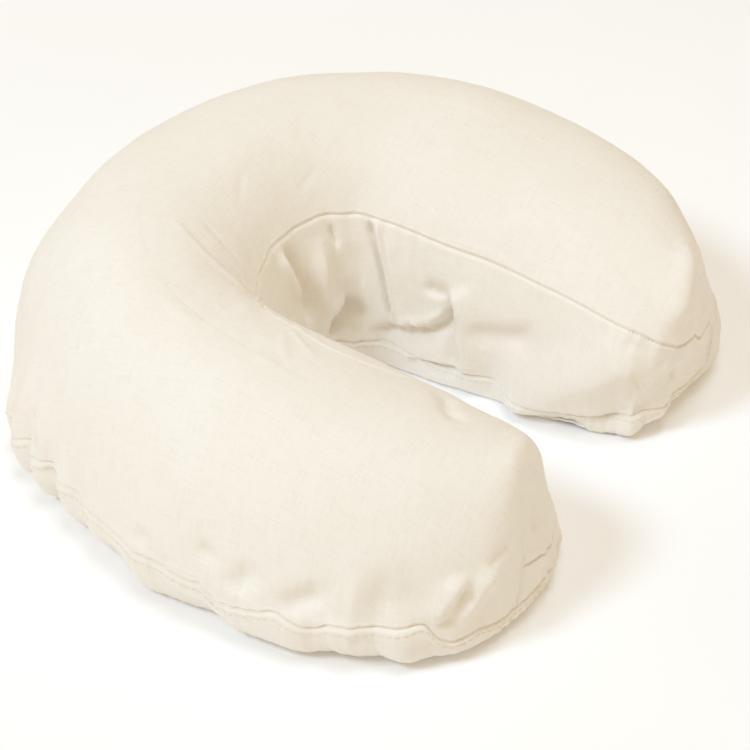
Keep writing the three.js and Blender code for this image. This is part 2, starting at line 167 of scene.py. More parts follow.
# ------------------------------------------------------------------ the drape
# Where the slack cover stands proud of the smooth form, or sinks in: the place,
# and how far it moves, in millimetres.
DRAPE = np.array([
    (-116.9, -115.8, 3.3, 2.7, 3.2, 5.3), (-124.3, -106.3, 3.4, -0.9, -1.7, -2.2), (-130.9, -96.1, 3.5, -7, -1.9, -9.6),
    (-136.4, -85.3, 3.6, 4.1, 2.3, 6.3), (-140.8, -74, 3.7, -0.8, -0.9, -1.5), (-144, -62.4, 3.8, -2.4, 0.1, -2.8),
    (-146.8, -50.5, 5.2, -0.5, 0.3, -0.4), (-147.8, -38.5, 5.3, 0.9, -0.7, 0.6), (-147.6, -26.7, 5.4, 3.5, 0.5, 4.5),
    (-146.4, -14.9, 5.5, 3.6, -0.9, 3.7), (-144.3, -3.4, 5.5, -2.9, -0, -3.5), (-141.4, 7.8, 5.6, 0.2, -0.1, 0.2),
    (-138.4, 18.8, 7.4, 2.5, -1.7, 1.9), (-132.1, 25.5, 1.1, 3.6, -3, 2.4), (-131.7, 34.5, 7.5, 0.2, 0, 0.2),
    (-125, 40.6, 1.1, 0.5, -0.5, 0.2), (-124.1, 49.7, 9.5, 4, -1.4, 3.8), (-117.2, 55.2, 2, 4.2, -1.5, 4),
    (-117.2, 62.1, 14, 0.1, 0.1, 0.2), (-112, 65.1, 4.5, -0.2, 0.1, -0.2), (-110.9, 71.6, 19, -4.2, 3.4, -2.9),
    (-105.9, 74.7, 7.9, -0.9, 0.7, -0.7), (-103.7, 80.7, 24.3, -4.6, 7.7, -0.4), (-99.1, 84.3, 14.3, -7, 9.6, -2.1),
    (-91.1, 92.8, 19.4, -0.5, 1, 0), (-86.5, 96.4, 32.3, 0.9, -1.6, 0), (-83.9, 97.7, 12.2, -0.7, 1.4, 0.1),
    (-78.6, 100, 41.2, 0.3, -0.9, -0.2), (-79.9, 102.4, 24.9, 0.9, -1.8, -0.1), (-70, 101.8, 52, -0.9, 2.1, 0.3),
    (-72.1, 106.5, 34.6, 0.3, -0.9, -0.2), (-67.4, 110.5, 25.1, 0.5, -0.8, 0), (-61.4, 102.8, 60.7, -1.2, 3.1, 0.6),
    (-63.6, 108.7, 44.2, -0.9, 2.1, 0.3), (-59.2, 113.8, 34.9, -0.6, 1.4, 0.2), (-52.6, 102.5, 69.3, 0.1, 0.9, 0.7),
    (-54.9, 110, 52.6, -0.9, 2.4, 0.5), (-50.5, 115.7, 42, -0.3, 0.8, 0.1), (-46.1, 109.9, 61.3, 0, 1.6, 1.1),
    (-41.3, 101.6, 77.5, 0.4, -3, -1.5), (-41.7, 116.3, 50.1, -0.9, 3.9, 1.4), (-34.6, 109, 70, 0.4, -2.6, -1.2),
    (-30.6, 100.8, 82.5, 0.2, -2, -1.1), (-32.7, 115.3, 58.8, 0.2, -0.4, 0), (-23.5, 108, 75.6, 0.2, -1.9, -1),
    (-20.2, 98.5, 87, -0.3, -1.7, -1.5), (-12.8, 105.4, 80.8, -0.3, -1.7, -1.5), (-7.8, 97.1, 89.2, -0.2, -1.5, -1.2),
    (-2.1, 107.3, 78.6, -0.5, -2.3, -2.1), (4.2, 94.2, 91.1, -0.3, -1.7, -1.4), (7.9, 102.7, 83.5, -0.4, -1.4, -1.3),
    (15.7, 90.1, 92.7, -0.6, -1.3, -1.6), (20.2, 98.6, 85.7, -0.6, -1.6, -1.7), (26.4, 85, 94, -0.8, -1.4, -1.8),
    (31.8, 93.3, 87.7, -0.8, -1.4, -1.9), (37.4, 81.3, 93.9, -0.2, -0.5, -0.5), (43.6, 89.1, 87.5, -0.6, -0.6, -1.1),
    (46.5, 74.2, 94.7, -0.4, -0.1, -0.6), (53.7, 81.7, 89, -0.3, -0.2, -0.6), (56.3, 68.6, 94.2, -0.4, 0.1, -0.4),
    (64.2, 75.4, 88.6, -0.3, 0, -0.3), (65.3, 62.2, 93.6, -0, 0.3, 0.2), (74, 68.1, 88, 0, 0.3, 0.2),
    (73.7, 54.8, 92.9, 0.3, 0.2, 0.5), (83.1, 59.9, 87.2, 0.4, 0, 0.5), (91.2, 50.7, 86.3, 0.1, 0.1, 0.2),
    (87.9, 37.5, 90.8, 0.5, 0.3, 0.8), (98.5, 40.5, 85.3, 0.4, 0.3, 0.7), (93.7, 27, 89.6, 0.6, 0.4, 1),
    (105.8, 32.4, 82.6, 0.7, 0.5, 1.1), (100.3, 18.5, 87.4, 1.2, 0.8, 1.9), (110.3, 22.3, 81.5, 1.3, 0.8, 2.1),
    (103.6, 7.9, 86.2, 1.7, 0, 2.1), (114.1, 11.4, 80.4, 1.9, 0.1, 2.3), (121.1, 4.3, 75.8, 2, 0.4, 2.7),
    (106.2, -3.1, 84.8, 2.1, 0.4, 2.8), (116, -9.5, 79.8, 2, -0.1, 2.3), (126.6, -13.1, 71.9, 1.4, 0.1, 1.7),
    (111.6, -19.6, 81.5, 1.4, 0.1, 1.8), (122.6, -23.2, 74.7, 1, -0.2, 1.1), (112.1, -31.4, 79.9, 0.6, -0.3, 0.5),
    (122.7, -35.4, 73.2, 0.4, 0.1, 0.6), (114.5, -42.7, 77, 0.5, -0, 0.6), (128.9, -43.4, 66.4, 0.3, 0.2, 0.5),
    (121.2, -50.4, 71.2, 0.1, 0.2, 0.3), (112.5, -57.3, 74.9, 0.1, 0.2, 0.2), (126.2, -58.6, 64.5, 0.1, 0.8, 0.6),
    (118, -65.2, 69.1, 0, 0.7, 0.5), (124.7, -70.2, 60.9, 0.4, -0.2, 0.3), (110.4, -74.1, 70.8, 0.4, -0.1, 0.5),
    (117.3, -79, 63.4, -0.3, -0, -0.3), (106, -84.9, 68.8, -0.5, 0.2, -0.4), (113.7, -89.6, 59.8, -0.8, 0.6, -0.5),
    (100.5, -95, 66.8, -0.8, 0.5, -0.6), (107, -99.5, 58, -1.4, 1.4, -0.7), (94.3, -106.4, 62.8, -1.4, 1.8, -0.5),
    (107.2, -106.1, 49.1, -2.2, 2.6, -1), (96.6, -112.3, 53.4, -2.5, 3, -1), (86.7, -114.5, 60.7, -2.3, 2.9, -0.8),
    (102.6, -114, 39.5, -3, 4.1, -0.9), (101.8, -117.2, 28.2, -3.7, 4.4, -1.5), (88.3, -119.4, 49.5, -3.1, 4.2, -1),
    (93.4, -119.9, 38.1, -3.7, 4.7, -1.3), (97.5, -120.2, 17.3, 3.3, -3.6, 1.6), (93, -121.4, 6.9, 3.3, -11.1, -3.2),
    (90, -122.7, 27.4, 0.1, 0.2, 0.2), (87.2, -124.1, 16.9, 5.8, -10.5, 0.1), (84, -123.2, 0.4, 0, 3.4, 2.2),
    (81.4, -124.4, 37.3, -2, 2.6, -0.7), (79.3, -126, 26.4, 6.1, -7.9, 2.1), (75.7, -127, 14.7, 1.1, -6.2, -2.6),
    (71.3, -127.3, 4.1, 0.5, 7.4, 5.4), (60, -129.1, 6.4, 0.6, 9.1, 6.6), (49, -129.6, 3.9, -0.9, 7.1, 3.6),
    (36.1, -128.7, 2.8, 1.5, 8.2, 7.1), (25, -124.6, 1.2, 3, 7.8, 8.6), (21.3, -112.6, 1.8, 0.2, 1.4, 1.2),
    (21.3, -99.9, 1.9, -3.8, -1.4, -5.4), (21.4, -87.2, 1.3, -2.8, -0.1, -3.4), (21.1, -74.4, 1.4, -2.1, 0.9, -2),
    (20.8, -49, 0.8, 2.8, -1.1, 2.7), (20.9, -36.2, 0.8, -4.5, 1.2, -4.5), (20.9, -23.6, 0.9, 1.8, -4.3, -0.7),
    (-54.3, -56, 61.9, 3, -8.8, -2.1), (-61.3, -63.6, 66.8, 2.3, -5.4, -0.8), (-52.2, -66.3, 58.6, -0.7, 0.7, -0.3),
    (-58.6, -74.2, 63.8, -1.2, 0.6, -1), (-53.2, -92.6, 57.7, -0.8, 0.4, -0.7), (-60.5, -99.2, 63, -1.8, 0.4, -1.9),
    (-49.3, -102.4, 52.8, -2, 0.4, -2.2), (-56.7, -109.1, 59.8, -1.8, 0.9, -1.5), (-45.9, -110.9, 45.9, -5.4, 5.7, -2.8),
    (-44.4, -114, 35.2, -2.6, 3.9, -0.7), (-46.4, -117.2, 22.9, -3.6, 5.7, -0.5), (-55.4, -117.2, 49.4, -3, 2.9, -1.7),
    (-48.7, -118.7, 11.7, 3.5, -5.3, 0.7), (-53, -119.6, 1.3, -0, 1.1, 0.6), (-56.1, -120.6, 37.6, -2.9, 3.7, -1.1),
    (-60.4, -123.6, 13.7, 1.5, -4, -0.8), (-64.5, -123.9, 2.9, -1, 4.7, 1.8), (-74.7, -126.2, 6.5, -0.6, 3.6, 1.6),
    (-85.6, -126.6, 4.1, -0, 4.9, 3.1), (-99.1, -125.1, 3.2, 0.2, 3.4, 2.5),
])
DRAPE_REACH = 13.0

# Folds, pleats and creases: the line they follow, their height (below 0 for a
# valley), the reach on each side of the line, and the share that tapers off.
FOLDS = [
    ([[-8.0, 22.0, 67.3], [-9.0, 18.8, 60.1], [-6.9, 15.7, 50.0], [-5.4, 14.0, 40.2], [-3.4, 13.0, 27.1]], -6, 4.6, 1.6, 0.25),
    ([[-11.5, 22.1, 67.4], [-12.3, 19.1, 60.9], [-11.0, 16.0, 50.9], [-8.8, 14.3, 41.1]], 2.6, 2, 3.4, 0.3),
    ([[9.3, 17.1, 64.2], [7.4, 15.4, 58.8], [6.0, 14.0, 52.9], [4.3, 12.9, 45.3], [3.3, 12.2, 37.0], [4.0, 11.5, 29.0], [5.1, 11.1, 20.6]], 4.2, 4.2, 4.2, 0.35),
    ([[15.1, 15.4, 65.7], [15.1, 13.2, 61.2], [14.7, 10.7, 54.7]], -2.2, 2, 1.2, 0.4),
    ([[16.5, 4.9, 34.4], [14.0, 6.8, 29.9], [10.4, 8.9, 25.5], [7.6, 10.2, 16.4]], -7.2, 7.5, 1.6, 0.25),
    ([[14.9, 6.4, 33.9], [12.1, 8.0, 29.6], [8.2, 10.0, 26.0]], 2.8, 1.6, 4.2, 0.3),
    ([[27.5, 3.3, 64.9], [25.1, 1.0, 59.0], [22.5, -3.1, 49.8], [21.4, -5.4, 44.1], [20.6, -7.4, 38.0], [20.1, -9.6, 30.5], [20.1, -11.5, 22.6]], -3.2, 1.1, 1.3, 0.12),
    ([[28.3, 2.0, 65.3], [25.7, -0.9, 59.2], [23.1, -5.0, 51.1], [21.9, -7.4, 45.6], [20.9, -9.5, 39.9], [20.2, -11.8, 32.1], [20.1, -13.8, 23.9]], 1.9, 2.8, 1.3, 0.15),
    ([[28.7, -0.1, 64.8], [24.8, -5.0, 55.8], [23.1, -7.3, 50.4], [21.8, -9.5, 44.7], [20.9, -11.5, 39.3], [20.4, -13.4, 33.6], [20.1, -15.1, 27.7]], -1.3, 1.7, 1.1, 0.2),
    ([[19.2, -0.5, 16.4], [20.1, -7.4, 18.7], [20.1, -14.7, 21.7], [19.8, -26.2, 24.9], [20.0, -32.8, 29.9], [21.3, -39.4, 39.1]], -4.8, 1.7, 5, 0.15),
    ([[19.8, -3.9, 20.1], [20.1, -14.7, 24.7], [19.9, -26.1, 27.7], [20.2, -31.7, 32.3], [21.3, -37.2, 39.3]], 1.8, 2.6, 1.8, 0.3),
    ([[22.1, -23.3, 43.8], [22.0, -30.5, 42.9], [22.4, -36.0, 44.0]], -2.6, 3.4, 1.6, 0.3),
    ([[23.1, -34.7, 46.4], [21.6, -38.7, 40.6], [20.0, -40.3, 30.0], [19.7, -41.7, 23.6], [19.6, -43.0, 16.9], [19.8, -44.2, 9.9]], 3.6, 7.5, 1.3, 0.15),
    ([[22.5, -33.3, 44.5], [21.3, -37.2, 39.3], [19.9, -38.6, 29.0], [19.6, -39.9, 22.7], [19.5, -41.0, 16.1], [19.7, -42.0, 9.2]], -3, 1.3, 5, 0.2),
    ([[20.4, -17.1, 7.4], [19.6, -28.9, 10.1], [19.4, -36.2, 10.5], [19.7, -43.3, 10.6]], -2.8, 1.3, 4.2, 0.2),
    ([[20.1, -43.0, 29.9], [20.5, -53.7, 32.4], [20.7, -64.1, 34.0], [22.2, -74.3, 39.9]], -3, 3.4, 5.5, 0.3),
    ([[21.0, -60.2, 0.1], [19.7, -67.2, 4.3], [18.3, -77.1, 12.8], [18.0, -87.8, 18.4], [18.4, -93.7, 22.5], [19.1, -99.5, 26.3], [20.5, -106.6, 31.8], [22.0, -113.4, 37.0], [23.9, -121.6, 38.3]], 5.5, 14, 7, 0.2),
    ([[20.5, -70.6, -1.0], [19.1, -79.1, 0.6], [18.5, -87.6, 1.7], [18.3, -96.2, 4.3], [19.2, -104.3, 6.0], [19.8, -109.5, 9.7], [20.3, -114.6, 13.4], [22.5, -119.1, 15.7], [35.8, -122.8, 14.2]], -3, 6, 5, 0.3),
    ([[-60.9, -75.8, 64.7], [-74.3, -84.2, 70.0], [-81.5, -93.3, 70.3]], -1.9, 3, 4, 0.35),
    ([[-119.2, -110.4, 39.0], [-120.1, -112.1, 33.2], [-123.5, -111.0, 26.3], [-127.5, -108.7, 18.3]], 4.4, 4, 4, 0.25),
    ([[-114.6, -117.7, 33.1], [-119.0, -114.7, 28.9], [-123.5, -111.9, 23.4], [-126.7, -109.5, 17.1]], -5.2, 3.6, 3.6, 0.25),
    ([[-103.9, -122.5, 37.8], [-109.5, -120.7, 34.1], [-114.4, -118.5, 29.7], [-118.6, -116.2, 24.2], [-122.2, -113.6, 18.1]], 3.9, 4.4, 4.4, 0.3),
    ([[-98.1, -123.2, 42.7], [-106.5, -121.0, 40.1], [-111.7, -118.8, 37.2]], -2.2, 2.8, 2, 0.35),
    ([[-81.4, -122.7, 45.4], [-82.0, -124.1, 39.3], [-77.3, -125.2, 28.9]], -2.8, 3, 3, 0.35),
    ([[-94.0, -124.6, 29.3], [-93.1, -124.4, 23.5], [-93.7, -123.9, 16.3], [-96.3, -123.4, 12.9]], -2.2, 2.6, 1, 0.25),
    ([[-76.5, -125.2, 20.8], [-80.2, -124.8, 16.9], [-83.1, -124.1, 11.3]], 1.4, 4, 4, 0.4),
    ([[-139.5, -81.8, 31.6], [-137.5, -86.9, 31.0], [-135.4, -91.9, 30.3], [-133.1, -96.8, 29.5], [-130.4, -100.7, 30.2], [-127.4, -104.5, 30.8], [-124.3, -108.2, 31.2]], -3.4, 10, 10, 0.4),
    ([[-112.8, 70.5, 39.4], [-116.9, 65.8, 34.5], [-119.1, 63.0, 28.9], [-118.7, 62.3, 20.6]], -1.8, 1.8, 1.2, 0.3),
    ([[-120.2, 59.2, 22.4], [-121.7, 54.1, 18.3], [-123.7, 48.5, 14.7]], -1.8, 1.8, 1.2, 0.3),
    ([[-146.0, -31.5, 39.6], [-148.2, -24.8, 31.1]], -2.2, 3.6, 3.6, 0.5),
    ([[-145.8, -47.8, 38.2], [-147.8, -45.3, 33.4], [-149.4, -42.4, 28.3], [-150.0, -38.9, 22.0]], -2.6, 4.2, 4.2, 0.4),
    ([[-141.3, -75.0, 33.7], [-144.0, -70.3, 31.0], [-146.4, -65.3, 28.0], [-148.2, -60.8, 25.6], [-149.6, -56.0, 22.8]], -3.4, 4.2, 4.2, 0.35),
    ([[-145.0, -4.0, 34.7], [-145.4, 3.6, 24.0]], -1.3, 3, 3, 0.5),
    ([[73.1, -113.2, 65.5], [63.5, -119.0, 64.4], [51.8, -123.3, 60.1], [45.5, -124.6, 56.4], [35.5, -124.2, 51.6], [32.1, -124.4, 47.7]], 2.4, 5, 5, 0.3),
    ([[70.9, -118.8, 60.1], [61.9, -121.9, 59.3], [55.3, -124.2, 56.9], [48.1, -126.5, 50.8]], -2.6, 3.4, 3.4, 0.35),
    ([[60.3, -125.9, 48.9], [56.9, -127.7, 44.5], [55.7, -128.8, 38.4]], 1.5, 2.6, 2.6, 0.4),
    ([[52.6, -125.7, 53.4], [49.8, -127.1, 48.4], [48.3, -128.1, 42.2]], -1.4, 1.5, 1.5, 0.3),
    ([[64.0, -125.9, 46.6], [64.6, -129.3, 35.0]], -1.2, 1.5, 1.5, 0.3),
    ([[26.3, -110.0, 46.8], [23.6, -112.4, 41.4]], -0.9, 1.5, 1.5, 0.4),
    ([[26.2, -114.2, 46.5], [23.6, -117.0, 41.1]], -0.9, 1.5, 1.5, 0.4),
    ([[25.9, -118.5, 45.8], [24.5, -121.2, 41.1]], -0.9, 1.5, 1.5, 0.4),
    ([[28.1, -123.4, 44.2], [26.5, -123.8, 38.8]], -0.8, 1.5, 1.5, 0.4),
    ([[42.6, -88.5, 64.8], [41.9, -93.9, 63.7], [39.7, -102.6, 61.4], [37.5, -108.1, 59.4], [35.4, -113.5, 57.3], [31.6, -120.4, 52.7], [31.3, -124.9, 45.1]], 0.6, 1.1, 1.8, 0.15),
    ([[34.8, -126.5, 38.3], [29.8, -124.2, 31.6], [24.7, -122.0, 29.4], [22.8, -120.3, 25.1], [21.2, -117.9, 17.1], [21.2, -116.7, 10.3]], 1.4, 1.4, 2.2, 0.2),
    ([[38.7, -125.9, 32.7], [39.3, -124.0, 23.0]], -1.8, 2.8, 2.8, 0.4),
    ([[-46.1, 50.5, 93.8], [-48.3, 44.8, 92.3], [-50.1, 39.3, 90.6], [-51.5, 34.1, 88.7], [-52.8, 29.0, 86.5], [-53.3, 24.3, 84.1], [-53.5, 19.7, 81.5], [-53.5, 15.3, 78.6], [-53.3, 11.0, 75.6], [-54.6, 5.8, 73.8]], 0.5, 1.5, 2.2, 0.25),
    ([[-46.7, 43.6, 91.8], [-47.7, 37.9, 89.7], [-48.2, 32.6, 87.2], [-48.2, 27.6, 84.4], [-47.5, 22.2, 80.4], [-45.6, 17.6, 75.4], [-41.4, 14.4, 68.5]], -0.5, 5, 5, 0.3),
    ([[-37.1, 41.8, 90.1], [-38.9, 34.7, 86.4], [-39.7, 28.2, 82.0], [-39.1, 22.8, 76.9], [-36.8, 18.4, 70.4]], -0.3, 1.5, 1.5, 0.3),
    ([[-86.0, 29.1, 89.2], [-88.6, 22.2, 88.3], [-91.1, 15.3, 87.3], [-92.4, 9.7, 86.6], [-93.8, 4.0, 85.9]], 0.6, 2, 2.4, 0.35),
    ([[-93.2, 3.2, 85.8], [-83.5, 0.0, 85.3], [-75.9, -1.1, 83.7], [-65.2, -0.3, 79.6]], 0.6, 2, 2.2, 0.3),
    ([[-81.2, 13.2, 87.3], [-81.8, 3.6, 85.7], [-67.5, 1.6, 81.2]], -0.6, 6, 6, 0.4),
    ([[-70.8, -17.1, 79.0], [-79.3, -29.5, 79.8], [-83.8, -36.2, 79.8]], 0.45, 1.2, 1.4, 0.3),
    ([[-96.2, -14.7, 83.5], [-94.6, -22.3, 82.6], [-95.4, -30.1, 81.6]], 0.5, 2.4, 2.4, 0.4),
    ([[-72.4, -16.4, 79.8], [-84.6, -23.3, 81.9], [-94.6, -31.2, 81.4]], 0.4, 1.4, 1.4, 0.4),
    ([[25.1, 33.7, 88.6], [28.6, 28.1, 86.1], [32.0, 22.5, 83.7], [35.2, 16.7, 81.4], [39.1, 11.2, 80.5], [42.1, 5.4, 80.1], [44.8, -0.8, 80.1]], 0.5, 6, 6, 0.4),
    ([[32.5, -29.9, 64.0], [32.5, -35.8, 63.1], [32.4, -41.7, 62.2], [32.4, -47.6, 61.3], [32.0, -54.3, 59.9], [31.6, -61.1, 58.6]], 0.45, 1.6, 2.4, 0.3),
    ([[-93.6, 57.3, 80.0], [-98.7, 49.4, 79.8], [-103.2, 42.0, 79.3], [-107.3, 35.0, 78.3], [-111.9, 30.1, 75.7], [-116.2, 25.4, 72.8], [-120.3, 20.9, 69.7]], 0.5, 6, 6, 0.4),
    ([[-0.5, 44.8, 91.0], [-9.2, 40.2, 87.7], [-17.7, 35.8, 84.4]], -0.35, 1.8, 1.8, 0.4),
    ([[27.0, 25.7, 83.9], [19.4, 26.2, 81.4], [11.8, 26.5, 79.0]], -0.35, 1.8, 1.8, 0.4),
]

# The hem seam's step on the side wall along the outer run, and at the arm ends
HEM_OUT = [(-1.0, 1.32), (-.985, 1.30), (-.97, 1.17), (-.962, .97), (-.947, .965), (-.905, 1.02), (-.862, 1.03),
           (-.842, 1.13), (-.82, 1.07), (-.80, .99), (-.787, 1.07), (-.765, 1.14), (-.745, 1.19), (-.73, 1.22), (-.71, 1.09),
           (-.695, 1.12), (-.662, 1.056), (-.618, 1.06), (-.56, 1.05), (-.48, 1.075), (-.39, 1.072), (-.35, 1.16),
           (-.3, 1.1), (0, 1.07), (.5, 1.07), (.9, .98), (.96, .92), (1.0, .88)]
HEM_LEFT = [(0, 1.32), (.07, 1.28), (.15, 1.40), (.219, 1.46), (.283, 1.385), (.34, 1.36), (.6, 1.33), (1.0, 1.32)]
HEM_RIGHT = [(0, .88), (.1, .82), (.2, .78), (.34, .775), (.352, .80), (.37, 1.05), (.39, 1.27), (.45, 1.33), (.7, 1.32), (1.0, 1.30)]
# the top panel's edge round the arm ends, from the outer run to the hole
SEAM_LEFT = [(0, 1.32), (.07, 1.28), (.15, 1.40), (.219, 1.46), (.283, 1.385), (.293, 1.28), (.303, .98), (.312, .86), (.36, .90),
             (.483, .979), (.563, .974), (.64, .95), (.72, .87), (.80, .78), (.90, .70), (1.0, .655)]
SEAM_RIGHT = [(0, .88), (.1, .82), (.2, .78), (.34, .775), (.418, .772), (.467, .786), (.495, .788), (.53, .745), (.545, .715),
              (.562, .720), (.595, .729), (.665, .717), (.728, .704), (.814, .671), (.993, .645), (1.0, .645)]
# and along the hole's run: low in the arch, up on top along the left arm
SEAM_HOLE = [(-1, .655), (-.9, .60), (-.84, .50), (-.80, .42), (-.78, .362), (-.752, .329), (-.727, .304), (-.703, .285),
             (-.672, .296), (-.636, .312), (-.605, .328), (-.576, .326), (-.545, .36), (-.511, .429), (-.46, .51),
             (-.40, .57), (-.305, .619), (-.117, .644), (0, .635), (.5, .65), (1.0, .645)]
CLOTH = .5                      # thickness of the cotton
JACKET_AT, JACKET = 3.0, 1.1    # depth and thickness of the jacket's skin
FOAM_AT = 4.5
CASING = 2.5


def smooth(x):
    x = np.clip(x, 0, 1)
    return x * x * (3 - 2 * x)


def table_at(x, rows):
    a = np.array(rows)
    return np.interp(x, a[:, 0], a[:, 1])


def drape(X):
    flat = X.reshape(-1, 3)
    out = np.zeros_like(flat)
    for i in range(0, len(flat), 16000):
        d2 = ((flat[i:i + 16000, None] - DRAPE[None, :, :3]) ** 2).sum(2)
        k = np.exp(-d2 / (2 * DRAPE_REACH ** 2))
        out[i:i + 16000] = (k @ DRAPE[:, 3:]) / (k.sum(1)[:, None] + .35)
    return out.reshape(X.shape)


def grid_normals(X, closed=True):
    """unit normals of a grid, which point out of the pad"""
    dt = np.roll(X, -1, 0) - np.roll(X, 1, 0)
    if not closed:
        dt[0], dt[-1] = X[1] - X[0], X[-1] - X[-2]
    dv = np.gradient(X, axis=1)
    n = np.cross(dt, dv)
    l = np.linalg.norm(n, axis=2, keepdims=True)
    return n / np.maximum(l, 1e-9), l[..., 0]


def noise3(X, scale, seed, octaves=3):
    """smooth value noise at points X, about -1 to 1"""
    r = np.random.RandomState(seed)
    lattice = r.uniform(-1, 1, (32, 32, 32))
    out, amp = 0, 1.0
    for o in range(octaves):
        p = X / scale * (2.0 ** o) + 7.3 * o
        i = np.floor(p).astype(int)
        f = p - i
        f = f * f * (3 - 2 * f)
        i %= 32
        j = (i + 1) % 32
        v = 0
        for a in (0, 1):
            for b in (0, 1):
                for c in (0, 1):
                    w = (f[..., 0] if a else 1 - f[..., 0]) * (f[..., 1] if b else 1 - f[..., 1]) * (f[..., 2] if c else 1 - f[..., 2])
                    v = v + w * lattice[(j if a else i)[..., 0], (j if b else i)[..., 1], (j if c else i)[..., 2]]
        out = out + amp * v
        amp *= .5
    return out


def fold_relief(X, N):
    """how far the folds move each point along its normal"""
    flat, nf = X.reshape(-1, 3), N.reshape(-1, 3)
    out = np.zeros(len(flat))
    for line, amp, left, right, taper in FOLDS:
        P = np.array(line, float)
        seg = np.diff(P, axis=0)
        length = np.linalg.norm(seg, axis=1)
        run = np.concatenate([[0], np.cumsum(length)])
        reach = 2.6 * max(left, right)
        near = np.nonzero(((flat > P.min(0) - reach) & (flat < P.max(0) + reach)).all(1))[0]
        if not len(near):
            continue
        A, B = flat[near], nf[near]
        best = np.full(len(near), 1e9)
        at, side = np.zeros(len(near)), np.zeros(len(near))
        for k in range(len(seg)):
            w = ((A - P[k]) @ seg[k]) / max(length[k] ** 2, 1e-9)
            w = np.clip(w, 0, 1)
            r = A - P[k] - w[:, None] * seg[k]
            d = np.linalg.norm(r, axis=1)
            sd = np.einsum("ij,ij->i", np.cross(B, seg[k] / length[k]), r)
            hit = d < best
            best[hit], at[hit], side[hit] = d[hit], (run[k] + w * length[k])[hit], sd[hit]
        # the fade stays continuous across the line
        t = smooth(side / 1.2 + .5)
        wide = right * (1 - t) + left * t
        share = at / run[-1]
        fade = smooth(share / taper) * smooth((1 - share) / taper)
        # past an end of the line the fold dies away
        out[near] += amp * np.exp(-(best / wide) ** 2) * np.maximum(fade, .0)
    return out.reshape(X.shape[:2])


